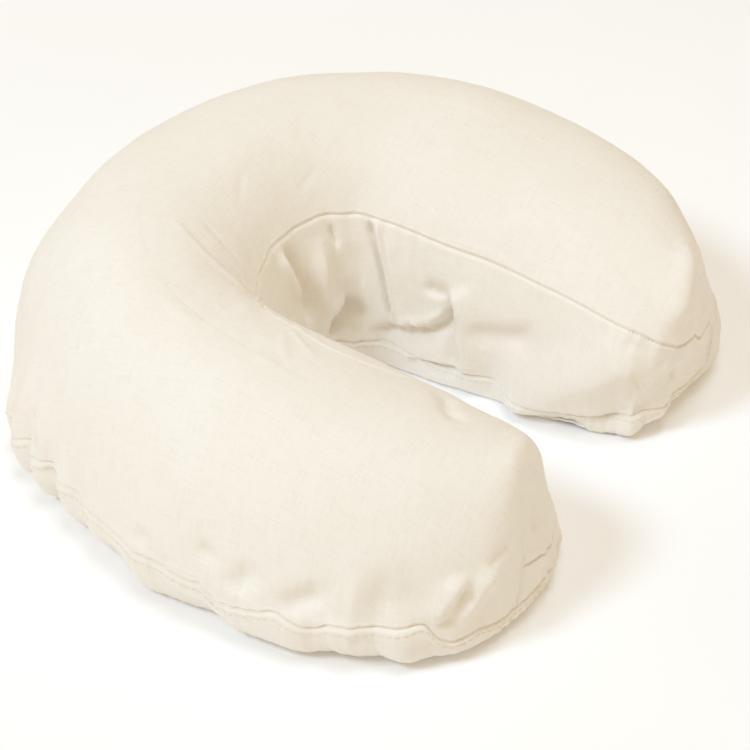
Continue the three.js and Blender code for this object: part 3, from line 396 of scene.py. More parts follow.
class Form:
    """the cover's surface: stations along the loop, steps from the spine to the ground"""

    def __init__(self, n, ends, steps_top, steps_wall):
        self.q = q = outline(n, ends)
        self.n, self.ends = n, ends
        self.T = len(q["s"])
        self.us = np.concatenate([np.linspace(0, 1, steps_top)[:-1], np.linspace(1, 2, steps_wall)])
        uu = np.tile(self.us, (self.T, 1))
        P0 = point(q, uu)
        self.D = drape(P0)
        X = P0 + self.D
        # the skirt comes down to the ground where the drape lifted it
        lift = np.maximum(0, X[:, -1, 2] - .9)[:, None]
        w = np.clip((uu - 1.25) / .75, 0, 1) ** 2
        X[..., 2] -= lift * w
        X[..., :2] -= q["n"][:, None] * (1.25 * lift * w)[..., None]
        # and ends on it where the drape would carry it below
        wall = steps_top - 1
        X[:, wall:, 2] = np.minimum.accumulate(X[:, wall:, 2], axis=1)
        top_z = X[:, wall, 2][:, None]
        share = (top_z - .9) / (top_z - np.minimum(X[..., 2].min(1), .9)[:, None])
        X[..., 2] = np.where(uu > 1, top_z + (X[..., 2] - top_z) * share, X[..., 2])
        # the arm ends turn softly
        near_end = smooth((np.abs(q["s"]) - .90) / .09)[:, None, None]
        for _ in range(2):
            E = X.copy()
            w = 0
            acc = np.zeros_like(X)
            for k in range(-24, 25):
                g = math.exp(-.5 * (k / 9.0) ** 2)
                acc += g * np.roll(E, k, 0)
                w += g
            X = X + (acc / w - X) * near_end * (1 - .65 * smooth((uu - .75) / .5))[..., None]
        self.X = X
        self.N, area = grid_normals(X)
        self.N[:, 0] = self.N[:, 1]
        self.loop = np.concatenate([[0], np.cumsum(np.linalg.norm(np.diff(P0[:, self.row(1.0)], axis=0), axis=1))])
        self.loop_length = self.loop[-1] + np.linalg.norm(P0[0, self.row(1.0)] - P0[-1, self.row(1.0)])
        step = np.linalg.norm(np.diff(X, axis=1), axis=2)
        self.arc = np.concatenate([np.zeros((self.T, 1)), np.cumsum(step, axis=1)], 1)
        s, side = q["s"], q["side"]
        kc = np.arange(1, ends + 1) / (ends + 1)
        on_out = table_at(s, HEM_OUT)
        hem, seam = on_out.copy(), on_out.copy()
        m = 2 * n + 1
        self.right = slice(m, m + ends)
        self.hole = slice(m + ends, m + ends + m)
        self.left = slice(m + ends + m, self.T)
        wob = .015 * np.sin(s * 23.0) + .01 * np.sin(s * 41.0 + 1)
        hem[self.right], seam[self.right] = table_at(kc, HEM_RIGHT), table_at(kc, SEAM_RIGHT)
        hem[self.hole], seam[self.hole] = 1.31 + wob[self.hole], table_at(s[self.hole], SEAM_HOLE) + .2 * wob[self.hole]
        hem[self.left], seam[self.left] = table_at(kc[::-1], HEM_LEFT), table_at(kc[::-1], SEAM_LEFT)
        seam = np.minimum(seam, hem)
        for a in (hem, seam):
            a[:] = (np.roll(a, 1) + 2 * a + np.roll(a, -1)) / 4
        self.hem, self.seam = hem, np.minimum(seam, hem)
        self.relief = self.make_relief() + self.slack()
        move = self.N * self.relief[..., None]
        # near the ground nothing is pushed down
        move[..., 2] = np.where(move[..., 2] < 0, move[..., 2] * smooth((X[..., 2] - .9) / 7), move[..., 2])
        self.G = self.X + move
        foot = self.row(1.62)
        self.G[:, foot:, 2] = np.minimum.accumulate(self.G[:, foot:, 2], axis=1)
        self.G[..., 2] = np.maximum(self.G[..., 2], .6)
        # the level that what lies under the cover keeps below
        low = np.minimum(self.relief, 0)
        for k in range(-6, 7):
            low = np.minimum(low, np.roll(np.minimum(self.relief, 0), k, 0))
        lower = low.copy()
        for k in range(1, 5):
            lower[:, k:] = np.minimum(lower[:, k:], low[:, :-k])
            lower[:, :-k] = np.minimum(lower[:, :-k], low[:, k:])
        for _ in range(3):
            lower = sum(np.roll(lower, k, 0) for k in range(-3, 4)) / 7
        self.low = lower

    def row(self, u):
        return int(np.argmin(np.abs(self.us - u)))

    def at(self, A, want):
        j = np.clip(np.searchsorted(self.us, want) - 1, 0, len(self.us) - 2)
        w = (want - self.us[j]) / (self.us[j + 1] - self.us[j])
        t = np.arange(self.T)[:, None]
        if A.ndim == 3:
            w = w[..., None]
        return A[t, j] * (1 - w) + A[t, j + 1] * w

    def slack(self):
        """small wrinkles from a short cloth simulation: the cover is cut a little larger
        than the pad, held at its hem, and pushed out by the padding"""
        st = np.r_[np.arange(0, 441, 4), self.right.start + np.arange(1, 90, 3), self.hole.start + np.arange(0, 441, 4), self.left.start + np.arange(1, 90, 3)]
        rw = np.r_[np.arange(0, len(self.us) - 1, 3), len(self.us) - 1]
        X, N = self.X[st][:, rw], self.N[st][:, rw]
        Tn, Vn = X.shape[:2]
        idx = np.arange(Tn * Vn).reshape(Tn, Vn)
        m = np.concatenate([np.arange(111), np.full(30, 110), np.arange(111)[::-1], np.zeros(30, int)])
        first = {}
        for i, k in enumerate(m):
            first.setdefault(int(k), idx[i, 0])
            idx[i, 0] = first[int(k)]
        faces = tidy(grid_faces(idx, True))
        used = np.unique(idx)
        new = np.full(Tn * Vn, -1)
        new[used] = np.arange(len(used))
        me = bpy.data.meshes.new("slack")
        me.from_pydata((X.reshape(-1, 3)[used] * MM).tolist(), [], [[int(new[v]) for v in f] for f in faces])
        me.validate()
        ob = bpy.data.objects.new("slack", me)
        bpy.context.scene.collection.objects.link(ob)
        vg = ob.vertex_groups.new(name="pin")
        vg.add([int(new[v]) for v in np.unique(idx[:, -3:])], 1.0, "REPLACE")
        c = ob.modifiers.new("cloth", "CLOTH")
        s = c.settings
        s.quality = 5
        s.mass = .15
        s.tension_stiffness, s.compression_stiffness, s.shear_stiffness, s.bending_stiffness = 20, 12, 4, .05
        s.tension_damping = s.compression_damping = s.shear_damping = 8
        s.air_damping = 3
        s.use_pressure = True
        s.uniform_pressure_force = 2.5
        s.shrink_min = -.018
        s.vertex_group_mass = "pin"
        s.effector_weights.gravity = 0
        c.collision_settings.use_collision = False
        sc = bpy.context.scene
        for f in range(1, 19):
            sc.frame_set(f)
        ev = ob.evaluated_get(bpy.context.evaluated_depsgraph_get())
        em = ev.to_mesh()
        P = np.zeros(len(em.vertices) * 3)
        em.vertices.foreach_get("co", P)
        P = P.reshape(-1, 3) / MM
        ev.to_mesh_clear()
        sc.frame_set(1)
        bpy.data.objects.remove(ob, do_unlink=True)
        bpy.data.meshes.remove(me)
        moved = np.einsum("tvk,tvk->tv", P[new[idx]] - X, N)
        print("SLACK moved", moved.min().round(2), moved.max().round(2))

        def blur(A, a, b):
            for _ in range(2):
                A = sum(np.roll(A, k, 0) for k in range(-a, a + 1)) / (2 * a + 1)
                E = np.pad(A, ((0, 0), (b, b)), "edge")
                A = sum(E[:, k:k + A.shape[1]] for k in range(2 * b + 1)) / (2 * b + 1)
            return A
        wrinkle = blur(moved, 0, 1) - blur(moved, 7, 6)
        wrinkle = 1.5 * np.tanh(wrinkle / 1.5)
        fine = np.stack([np.interp(self.us, self.us[rw], w) for w in wrinkle])
        t = np.arange(self.T)
        fine = np.stack([np.interp(t, st, fine[:, j], period=self.T) for j in range(fine.shape[1])], 1)
        fine = blur(fine, 2, 1)
        print("SLACK wrinkles", fine.min().round(2), fine.max().round(2), fine.std().round(3))
        low_down = smooth((self.us[None] - self.hem[:, None] + .75) / .75)
        return fine * (.16 + .84 * low_down)

    def make_relief(self):
        X, us, arc, loop, L = self.X, self.us, self.arc, self.loop, self.loop_length
        side = self.q["side"][:, None]
        relief = fold_relief(X, self.N)
        # the slack cloth's soft unevenness over the pad
        relief += .35 * noise3(X, 26.0, 3, 3) * smooth(arc / 20)
        relief += .10 * noise3(X, 7.0, 4, 2)
        seam_arc = self.at(arc, self.seam[:, None])
        hem_arc = self.at(arc, self.hem[:, None])
        d_seam, d_hem = arc - seam_arc, arc - hem_arc

        def waves(count, seed, sharp=1.0):
            """uneven gathers round the loop"""
            r = np.random.RandomState(seed)
            ph = np.zeros(self.T)
            a = np.zeros(self.T)
            x = loop / L * 2 * math.pi
            for k in range(5):
                f = count + r.randint(-count // 4, count // 4 + 1)
                ph = ph + np.sin(f * x + r.uniform(0, 6.28))
                a = a + np.sin(r.randint(5, 14) * x + r.uniform(0, 6.28))
            ph = ph / 1.6
            return (np.sign(ph) * np.abs(ph) ** sharp) * (.65 + .35 * np.tanh(a))
        gusset = smooth((self.hem - self.seam) / .15)[:, None]
        # gathers of the gusset below its seam
        g = waves(150, 21)[:, None]
        below = np.exp(-np.clip(d_seam, 0, None) / 9.0) * np.exp(-np.clip(-d_seam, 0, None) / 2.0)
        relief += .26 * g * below * gusset
        # gathers above and below the elastic hem
        g2, g3 = waves(64, 22)[:, None], waves(190, 23)[:, None]
        fall = np.exp(-np.clip(-d_hem, 0, None) / 12.0)
        # deeper round the back, where the elastic draws the longest curve
        back_run = (1 + 1.0 * smooth((.66 - np.abs(self.q["s"])[:, None]) / .2) * (side < .01))
        relief += (.75 * g2 * back_run + .20 * g3) * fall * (1 - .45 * side)
        # the casing bulges under its seam
        tall = np.maximum(self.arc[:, -1:] - hem_arc, 4)
        v = np.clip(d_hem / tall, 0, 1)
        relief += .8 * np.sin(math.pi * np.sqrt(v)) * (d_hem > 0)
        # stitched seams pull in, with a soft roll beside them
        for d, on in ((d_seam, gusset), (d_hem, 1.0)):
            relief += on * (-.22 * np.exp(-(d / 1.2) ** 2) + .12 * np.exp(-((np.abs(d) - 2.4) / 1.4) ** 2))
        return relief


def lines(T, closed):
    return T if closed else T - 1


def spine_ids(form):
    """the spine's vertex for each station, so that both sides share it"""
    n, ends = form.n, form.ends
    m = 2 * n + 1
    return np.concatenate([np.arange(m), np.full(ends, m - 1), np.arange(m)[::-1], np.zeros(ends, int)])


def grid_faces(idx, closed):
    T = idx.shape[0]
    t = np.arange(T if closed else T - 1)
    t1 = (t + 1) % T
    a, b, c, d = idx[t][:, :-1], idx[t1][:, :-1], idx[t1][:, 1:], idx[t][:, 1:]
    return np.stack([a, b, c, d], -1).reshape(-1, 4)


def tidy(F):
    """faces as lists, with a repeated corner left out"""
    out = []
    same = (F == np.roll(F, -1, 1)).any(1)
    out.extend(F[~same].tolist())
    for f in F[same].tolist():
        g = [v for k, v in enumerate(f) if v != f[k - 1]]
        if len(set(g)) == 3:
            out.append(g)
    return out


def mesh_object(name, V, faces, weave=None, sharp=50):
    me = bpy.data.meshes.new(name)
    me.from_pydata((np.asarray(V) * MM).tolist(), [], faces)
    me.validate()
    if weave is not None:
        at = me.attributes.new("weave", "FLOAT_VECTOR", "POINT")
        w = np.zeros((len(V), 3), np.float32)
        w[:, :weave.shape[1]] = weave * MM
        at.data.foreach_set("vector", w.ravel())
    for p in me.polygons:
        p.use_smooth = True
    me.set_sharp_from_angle(angle=math.radians(sharp))
    ob = bpy.data.objects.new(name, me)
    bpy.context.scene.collection.objects.link(ob)
    return ob


def signed_volume(V, F):
    v = 0
    for f in F[:: max(1, len(F) // 60000)]:
        p = V[f[0]]
        for k in range(1, len(f) - 1):
            v += np.dot(p, np.cross(V[f[k]], V[f[k + 1]]))
    return v


def shell(name, X, N, thick, closed, merge=None, weave=None):
    """a sheet of cloth: the outer skin X, the inner skin thick below it, and the cut edges"""
    T, V = X.shape[:2]
    idx = np.arange(T * V).reshape(T, V)
    outer, inner = X.reshape(-1, 3), (X - N * thick).reshape(-1, 3)
    W = weave.reshape(-1, weave.shape[-1])
    if merge is not None:
        first = {}
        for t, m in enumerate(merge):
            first.setdefault(int(m), []).append(t)
        for m, ts in first.items():
            idx[ts, 0] = idx[ts[0], 0]
            mean = inner[[t * V for t in ts]].mean(0)
            inner[ts[0] * V] = mean
    F = grid_faces(idx, closed)
    n = T * V
    t = np.arange(T if closed else T - 1)
    t1 = (t + 1) % T
    rims = [np.stack([idx[t, -1], idx[t1, -1], idx[t1, -1] + n, idx[t, -1] + n], -1)]
    if merge is None:
        rims.append(np.stack([idx[t1, 0], idx[t, 0], idx[t, 0] + n, idx[t1, 0] + n], -1))
    if not closed:
        v = np.arange(V - 1)
        rims.append(np.stack([idx[0, v], idx[0, v + 1], idx[0, v + 1] + n, idx[0, v] + n], -1))
        rims.append(np.stack([idx[-1, v + 1], idx[-1, v], idx[-1, v] + n, idx[-1, v + 1] + n], -1))
    both = np.concatenate([outer, inner])
    rim0 = rims[0]
    # the last row's edge runs d -> c
    rims[0] = rim0[:, [0, 1, 2, 3]]
    rimf = np.concatenate(rims)
    allf = [F, F[:, ::-1] + n, rimf]
    faces = tidy(np.concatenate(allf))
    return finish_mesh(name, both, faces, np.concatenate([W, W]), outward=(X, N, F, outer))


def finish_mesh(name, V, faces, W, outward=None, sharp=50):
    used = np.zeros(len(V), bool)
    for f in faces:
        used[f] = True
    new = np.cumsum(used) - 1
    faces = [[int(new[v]) for v in f] for f in faces]
    V, W = V[used], W[used]
    ob = mesh_object(name, V, faces, W, sharp)
    import bmesh
    bm = bmesh.new()
    bm.from_mesh(ob.data)
    bmesh.ops.recalc_face_normals(bm, faces=bm.faces)
    if bm.calc_volume(signed=True) < 0:
        bmesh.ops.reverse_faces(bm, faces=bm.faces)
    bm.to_mesh(ob.data)
    bm.free()
    ob.data.set_sharp_from_angle(angle=math.radians(sharp))
    return ob


def solid(name, X, merge_first=None, merge_last=None, weave=None, closed=True, sharp=50):
    """a closed body lofted through rows that begin and end on the spine"""
    T, V = X.shape[:2]
    idx = np.arange(T * V).reshape(T, V)
    for merge, col in ((merge_first, 0), (merge_last, V - 1)):
        if merge is None:
            continue
        first = {}
        for t, m in enumerate(merge):
            first.setdefault(int(m), []).append(t)
        for m, ts in first.items():
            idx[ts, col] = idx[ts[0], col]
    F = grid_faces(idx, closed)
    W = X.reshape(-1, 3) if weave is None else weave.reshape(-1, weave.shape[-1])
    return finish_mesh(name, X.reshape(-1, 3), tidy(F), W, sharp=sharp)


def ring(name, X, weave):
    """a closed tube: both ways round join up"""
    T, V = X.shape[:2]
    idx = np.arange(T * V).reshape(T, V)
    ext = np.concatenate([idx, idx[:, :1]], 1)
    return finish_mesh(name, X.reshape(-1, 3), tidy(grid_faces(ext, True)), weave.reshape(-1, weave.shape[-1]))


def threads(name, C, D, Nn, length, radius, arch=.0):
    """short runs of thread: centre, direction and surface normal of each, in mm"""
    rings, around = 7, 6
    C, D, Nn = np.asarray(C), np.asarray(D), np.asarray(Nn)
    D = D / np.linalg.norm(D, axis=1, keepdims=True)
    Nn = Nn - (Nn * D).sum(1, keepdims=True) * D
    Nn = Nn / np.linalg.norm(Nn, axis=1, keepdims=True)
    B = np.cross(D, Nn)
    k = np.linspace(-1, 1, rings)
    rad = radius * np.sqrt(np.clip(1 - np.abs(k) ** 4, .04, 1))
    th = np.arange(around) / around * 2 * math.pi
    V = []
    for a, r in zip(k, rad):
        centre = C + D * (a * length / 2) + Nn * (arch * (1 - a * a))
        for t in th:
            V.append(centre + Nn * (r * math.cos(t)) + B * (r * math.sin(t)))
    V = np.stack(V, 1)
    m, per = len(C), rings * around
    faces = []
    base = []
    for a in range(rings - 1):
        for t in range(around):
            t1 = (t + 1) % around
            base.append([a * around + t, a * around + t1, (a + 1) * around + t1, (a + 1) * around + t])
    base = np.array(base)
    caps = [list(range(around))[::-1], list(range((rings - 1) * around, rings * around))]
    off = (np.arange(m) * per)[:, None, None]
    faces.extend((base[None] + off).reshape(-1, 4).tolist())
    for c in caps:
        faces.extend((np.array(c)[None] + off[:, 0]).tolist())
    W = np.tile(np.stack([np.repeat(k * length / 2, around), np.tile(th * radius, rings), np.zeros(per)], 1)[None], (m, 1, 1))
    return finish_mesh(name, V.reshape(-1, 3), faces, W.reshape(-1, 3), sharp=80)


def along(P, N, spacing, closed=False):
    """evenly spaced points on a line, with its direction and normal"""
    if closed:
        P, N = np.concatenate([P, P[:1]]), np.concatenate([N, N[:1]])
    run = np.concatenate([[0], np.cumsum(np.linalg.norm(np.diff(P, axis=0), axis=1))])
    at = np.arange(spacing / 2, run[-1], spacing)
    pos = np.stack([np.interp(at, run, P[:, k]) for k in range(3)], 1)
    nor = np.stack([np.interp(at, run, N[:, k]) for k in range(3)], 1)
    a = np.stack([np.interp(at + .6, run, P[:, k]) for k in range(3)], 1)
    b = np.stack([np.interp(at - .6, run, P[:, k]) for k in range(3)], 1)
    d = a - b
    return pos, d / np.maximum(np.linalg.norm(d, axis=1, keepdims=True), 1e-9), nor / np.linalg.norm(nor, axis=1, keepdims=True)


# ------------------------------------------------------------------ materials
class Nodes:
    def __init__(self, name):
        self.m = bpy.data.materials.new(name)
        self.m.use_nodes = True
        self.t = self.m.node_tree
        self.s = self.t.nodes["Principled BSDF"]

    def add(self, kind, **k):
        n = self.t.nodes.new(kind)
        for a, v in k.items():
            setattr(n, a, v)
        return n

    def link(self, a, b):
        self.t.links.new(a, b)

    def set(self, **k):
        for a, v in k.items():
            self.s.inputs[a.replace("_", " ")].default_value = v
        return self

    def scaled(self, source, scale, turn=0.0):
        n = self.add("ShaderNodeMapping")
        n.inputs["Scale"].default_value = scale
        n.inputs["Rotation"].default_value = (0, 0, turn)
        self.link(source, n.inputs["Vector"])
        return n.outputs["Vector"]

    def noise(self, v, scale, detail=3.0, rough=.5):
        n = self.add("ShaderNodeTexNoise")
        n.inputs["Scale"].default_value = scale
        n.inputs["Detail"].default_value = detail
        n.inputs["Roughness"].default_value = rough
        self.link(v, n.inputs["Vector"])
        return n.outputs["Fac"]

    def math(self, op, a, b):
        n = self.add("ShaderNodeMath", operation=op)
        for i, x in enumerate((a, b)):
            if isinstance(x, (int, float)):
                n.inputs[i].default_value = x
            else:
                self.link(x, n.inputs[i])
        return n.outputs[0]

    def ramp(self, fac, stops):
        n = self.add("ShaderNodeValToRGB")
        e = n.color_ramp.elements
        e[0].position, e[0].color = stops[0][0], (*stops[0][1], 1)
        e[1].position, e[1].color = stops[-1][0], (*stops[-1][1], 1)
        for p, c in stops[1:-1]:
            x = e.new(p)
            x.color = (*c, 1)
        self.link(fac, n.inputs[0])
        return n.outputs["Color"]

    def mix(self, fac, a, b, blend="MIX"):
        n = self.add("ShaderNodeMix", data_type="RGBA", blend_type=blend)
        for i, x in ((0, fac), (6, a), (7, b)):
            if isinstance(x, (int, float)):
                n.inputs[i].default_value = x
            elif isinstance(x, tuple):
                n.inputs[i].default_value = (*x, 1)
            else:
                self.link(x, n.inputs[i])
        return n.outputs[2]

    def bump(self, height, strength, distance, under=None):
        n = self.add("ShaderNodeBump")
        n.inputs["Strength"].default_value = strength
        n.inputs["Distance"].default_value = distance
        self.link(height, n.inputs["Height"])
        if under is not None:
            self.link(under, n.inputs["Normal"])
        return n.outputs["Normal"]

    def out(self, color, normal):
        self.link(color, self.s.inputs["Base Color"])
        self.link(normal, self.s.inputs["Normal"])
        return self.m


def lin(r, g, b):
    return tuple(((c / 255 + .055) / 1.055) ** 2.4 if c > 10 else c / 255 / 12.92 for c in (r, g, b))


def cloth_weave(M, pitch, slub=True):
    """the threads' height on a plain weave, from the cloth's own coordinates"""
    src = M.add("ShaderNodeAttribute", attribute_name="weave").outputs["Vector"]
    k = 2 * math.pi / (20 * pitch)
    h = None
    for direction in ("X", "Y"):
        w = M.add("ShaderNodeTexWave", wave_type="BANDS", bands_direction=direction, wave_profile="SIN")
        w.inputs["Scale"].default_value = k
        w.inputs["Distortion"].default_value = 1.2
        w.inputs["Detail"].default_value = 1.0
        w.inputs["Detail Scale"].default_value = .12
        M.link(src, w.inputs["Vector"])
        h = w.outputs["Fac"] if h is None else M.math("ADD", h, w.outputs["Fac"])
    a = M.noise(M.scaled(src, (1 / .0009, 1 / .010, 1)), 1.0, 2.0)
    b = M.noise(M.scaled(src, (1 / .010, 1 / .0009, 1)), 1.0, 2.0)
    slubs = M.math("ADD", a, b)
    return src, h, slubs


def cotton(name, light, dark, bump=.35):
    M = Nodes(name).set(Roughness=.92, Sheen_Weight=.22, Sheen_Roughness=.55, Specular_IOR_Level=.22)
    src, h, slubs = cloth_weave(M, .00046)
    geo = M.add("ShaderNodeTexCoord").outputs["Object"]
    cloud = M.noise(geo, 30.0, 4.0)
    mottle = M.noise(geo, 260.0, 3.0, .6)
    base = M.ramp(cloud, [(.30, dark), (.72, light)])
    base = M.mix(M.math("MULTIPLY", M.math("SUBTRACT", mottle, .40), .42), base, tuple(c * .90 for c in dark))
    threads_ = M.ramp(M.math("MULTIPLY", slubs, .5), [(.30, (.938, .925, .905)), (.52, (1, 1, 1)), (.74, (.98, .975, .967))])
    base = M.mix(.8, base, threads_, "MULTIPLY")
    n1 = M.bump(M.noise(geo, 75.0, 3.0, .55), .20, .0018)
    n2 = M.bump(slubs, bump * .8, .0002, n1)
    n3 = M.bump(h, bump * .8, .00012, n2)
    return M.out(base, n3)


def vinyl(name, light, dark):
    M = Nodes(name).set(Roughness=.48, Specular_IOR_Level=.45, Coat_Weight=.05)
    geo = M.add("ShaderNodeTexCoord").outputs["Object"]
    v = M.add("ShaderNodeTexVoronoi", feature="DISTANCE_TO_EDGE")
    v.inputs["Scale"].default_value = 900.0
    M.link(geo, v.inputs["Vector"])
    grain = v.outputs["Distance"]
    base = M.ramp(M.noise(geo, 40.0, 4.0), [(.3, dark), (.7, light)])
    n = M.bump(grain, .35, .0003, M.bump(M.noise(geo, 160.0, 3.0), .15, .0006))
    return M.out(base, n)


def foam(name, light, dark, cell):
    M = Nodes(name).set(Roughness=.97, Specular_IOR_Level=.15)
    geo = M.add("ShaderNodeTexCoord").outputs["Object"]
    v = M.add("ShaderNodeTexVoronoi", feature="F1")
    v.inputs["Scale"].default_value = 1 / cell
    M.link(geo, v.inputs["Vector"])
    base = M.mix(M.math("MULTIPLY", v.outputs["Distance"], .9), light, dark)
    base = M.mix(M.math("MULTIPLY", M.noise(geo, 18.0, 3.0), .35), base, dark)
    return M.out(base, M.bump(v.outputs["Distance"], .6, cell * .5))


def loop_pile(name, light, dark):
    M = Nodes(name).set(Roughness=.95, Sheen_Weight=.35, Sheen_Roughness=.4, Specular_IOR_Level=.2)
    geo = M.add("ShaderNodeTexCoord").outputs["Object"]
    a = M.noise(geo, 1500.0, 4.0, .7)
    base = M.mix(M.noise(geo, 420.0, 3.0), dark, light)
    base = M.mix(M.math("MULTIPLY", a, .5), base, tuple(c * .6 for c in dark))
    return M.out(base, M.bump(a, .7, .0006))


def rib_elastic(name, light, dark):
    M = Nodes(name).set(Roughness=.8, Sheen_Weight=.1, Specular_IOR_Level=.3)
    src = M.add("ShaderNodeAttribute", attribute_name="weave").outputs["Vector"]
    w = M.add("ShaderNodeTexWave", wave_type="BANDS", bands_direction="Y", wave_profile="SIN")
    w.inputs["Scale"].default_value = 2 * math.pi / (20 * .0011)
    w.inputs["Distortion"].default_value = .4
    M.link(src, w.inputs["Vector"])
    n = M.noise(M.scaled(src, (1 / .0008, 1 / .003, 1)), 1.0, 2.0)
    base = M.mix(w.outputs["Fac"], dark, light)
    base = M.mix(M.math("MULTIPLY", n, .3), base, dark)
    return M.out(base, M.bump(n, .3, .0003, M.bump(w.outputs["Fac"], .6, .0004)))


def nonwoven(name, light, dark):
    M = Nodes(name).set(Roughness=.9, Sheen_Weight=.08, Specular_IOR_Level=.25)
    geo = M.add("ShaderNodeTexCoord").outputs["Object"]
    fibres = M.noise(M.scaled(geo, (1, .35, 1), .6), 900.0, 4.0, .7)
    w = M.add("ShaderNodeTexVoronoi", feature="F1", distance="CHEBYCHEV")
    w.inputs["Scale"].default_value = 520.0
    w.inputs["Randomness"].default_value = 0.0
    M.link(M.scaled(geo, (1, 1, .2), .785), w.inputs["Vector"])
    base = M.mix(fibres, dark, light)
    n = M.bump(w.outputs["Distance"], .35, .0004, M.bump(fibres, .3, .0004))
    return M.out(base, n)


def thread_mat(name, light, dark):
    M = Nodes(name).set(Roughness=.75, Sheen_Weight=.15, Specular_IOR_Level=.3)
    src = M.add("ShaderNodeAttribute", attribute_name="weave").outputs["Vector"]
    w = M.add("ShaderNodeTexWave", wave_type="BANDS", bands_direction="DIAGONAL", wave_profile="SIN")
    w.inputs["Scale"].default_value = 2 * math.pi / (20 * .0005)
    M.link(src, w.inputs["Vector"])
    base = M.mix(w.outputs["Fac"], dark, light)
    return M.out(base, M.bump(w.outputs["Fac"], .4, .0001))


def floor_mat(name):
    M = Nodes(name).set(Roughness=.85, Specular_IOR_Level=.1)
    geo = M.add("ShaderNodeTexCoord").outputs["Object"]
    base = M.ramp(M.noise(geo, 6.0, 3.0), [(.3, (.925, .925, .925)), (.7, (.945, .945, .945))])
    M.set(Emission_Color=(1, 1, 1, 1), Emission_Strength=.08)
    return M.out(base, M.bump(M.noise(geo, 400.0, 2.0), .02, .0002))


COTTON = cotton("cotton", lin(250, 245, 236), lin(248, 242, 231))
THREAD = thread_mat("thread", lin(247, 241, 229), lin(232, 222, 202))
ELASTIC = rib_elastic("elastic", lin(236, 234, 228), lin(196, 194, 188))
VINYL = vinyl("jacket_vinyl", lin(228, 220, 202), lin(218, 208, 188))
BASE = nonwoven("base_cloth", lin(120, 116, 108), lin(92, 88, 82))
COMFORT = foam("comfort_foam", lin(240, 226, 172), lin(206, 186, 122), .0011)
SUPPORT = foam("support_foam", lin(190, 194, 200), lin(146, 150, 158), .0008)
LOOP = loop_pile("loop_pile", lin(84, 84, 86), lin(52, 52, 55))


def kept_in(P, X, q, depth, near=2.6):
    """points P, moved in at each station so that they stay this far inside the cover X"""
    mid = ((q["M"] + SHIFT) * SCALE)[:, None]
    n = q["n"][:, None]
    o = ((P[..., :2] - mid) * n).sum(2)
    oc = ((X[..., :2] - mid) * n).sum(2)
    gap = np.abs(X[:, None, :, 2] - P[:, :, None, 2]) > near
    limit = np.where(gap, 1e3, oc[:, None]).min(2) - depth
    over = np.maximum(0, o - limit)
    for _ in range(2):
        over = np.maximum(over, np.maximum(np.roll(over, 1, 0), np.roll(over, -1, 0)))
    for _ in range(2):
        over = (np.roll(over, 1, 0) + 2 * over + np.roll(over, -1, 0)) / 4
    P = P.copy()
    P[..., :2] -= n * over[..., None]
    return P


# ------------------------------------------------------------------ the pieces
def place(ob, mat, slot, *nodes):
    ob.data.materials.append(mat)
    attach(ob, "root")
    if nodes:
        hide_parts(*nodes)
    return ob


form = Form(220, 90, 92, 60)
T, q = form.T, form.q
merge = spine_ids(form)
ray = (q["O"] - q["M"]) / np.linalg.norm(q["O"] - q["M"], axis=1, keepdims=True)
GN, _ = grid_normals(form.G)
GN[:, 0] = GN[:, 1]

sN, _ = grid_normals(form.G)


def groove(d):
    """the stitched-down edge of a sheet, and the roll beside it, by distance from the edge"""
    return -.42 * np.exp(-(d / .5) ** 2) + .26 * np.exp(-((d - 1.25) / .6) ** 2)


# --- cotton top panel, from the spine to the hem seam and the hole's seam
edge = form.seam[:, None]
v = np.concatenate([np.linspace(0, .86, 92)[:-1], np.linspace(.86, 1, 30)])
top_u = edge * v[None]
arc = form.at(form.arc, top_u)
X = form.at(form.G, top_u) + form.at(sN, top_u) * groove(arc[:, -1:] - arc)[..., None]
N, _ = grid_normals(X)
N[:, 0] = N[:, 1]
unrolled = q["M"][:, None] + ray[:, None] * arc[..., None]
top = shell("cover_top_cotton", X, N, CLOTH, True, merge, unrolled)
place(top, COTTON, "cotton", "cover_top_panel")
seam_edge = X[:, -1].copy()

# --- gathered gusset round the hole and both arm ends
order = np.r_[np.arange(form.right.start + 12, form.right.stop), np.arange(form.hole.start, form.hole.stop), np.arange(form.left.start, form.left.stop - 12)]
tall = (form.hem - form.seam)
keep = order[tall[order] > .003]
v = np.concatenate([np.linspace(0, .16, 14)[:-1], np.linspace(.16, .86, 50)[:-1], np.linspace(.86, 1, 12)])
gus_u = form.seam[:, None] + tall[:, None] * v[None]
arc = form.at(form.arc, gus_u)[keep]
X = form.at(form.G, gus_u)[keep] + form.at(sN, gus_u)[keep] * groove(np.minimum(arc - arc[:, :1], arc[:, -1:] - arc))[..., None]
N, _ = grid_normals(X, closed=False)
W = np.stack([np.repeat(form.loop[keep][:, None] * 1.25, X.shape[1], 1), arc], -1)
gusset = shell("cover_gusset_cotton", X, N, CLOTH, False, None, W)
place(gusset, COTTON, "cotton", "cover_inner_gusset")

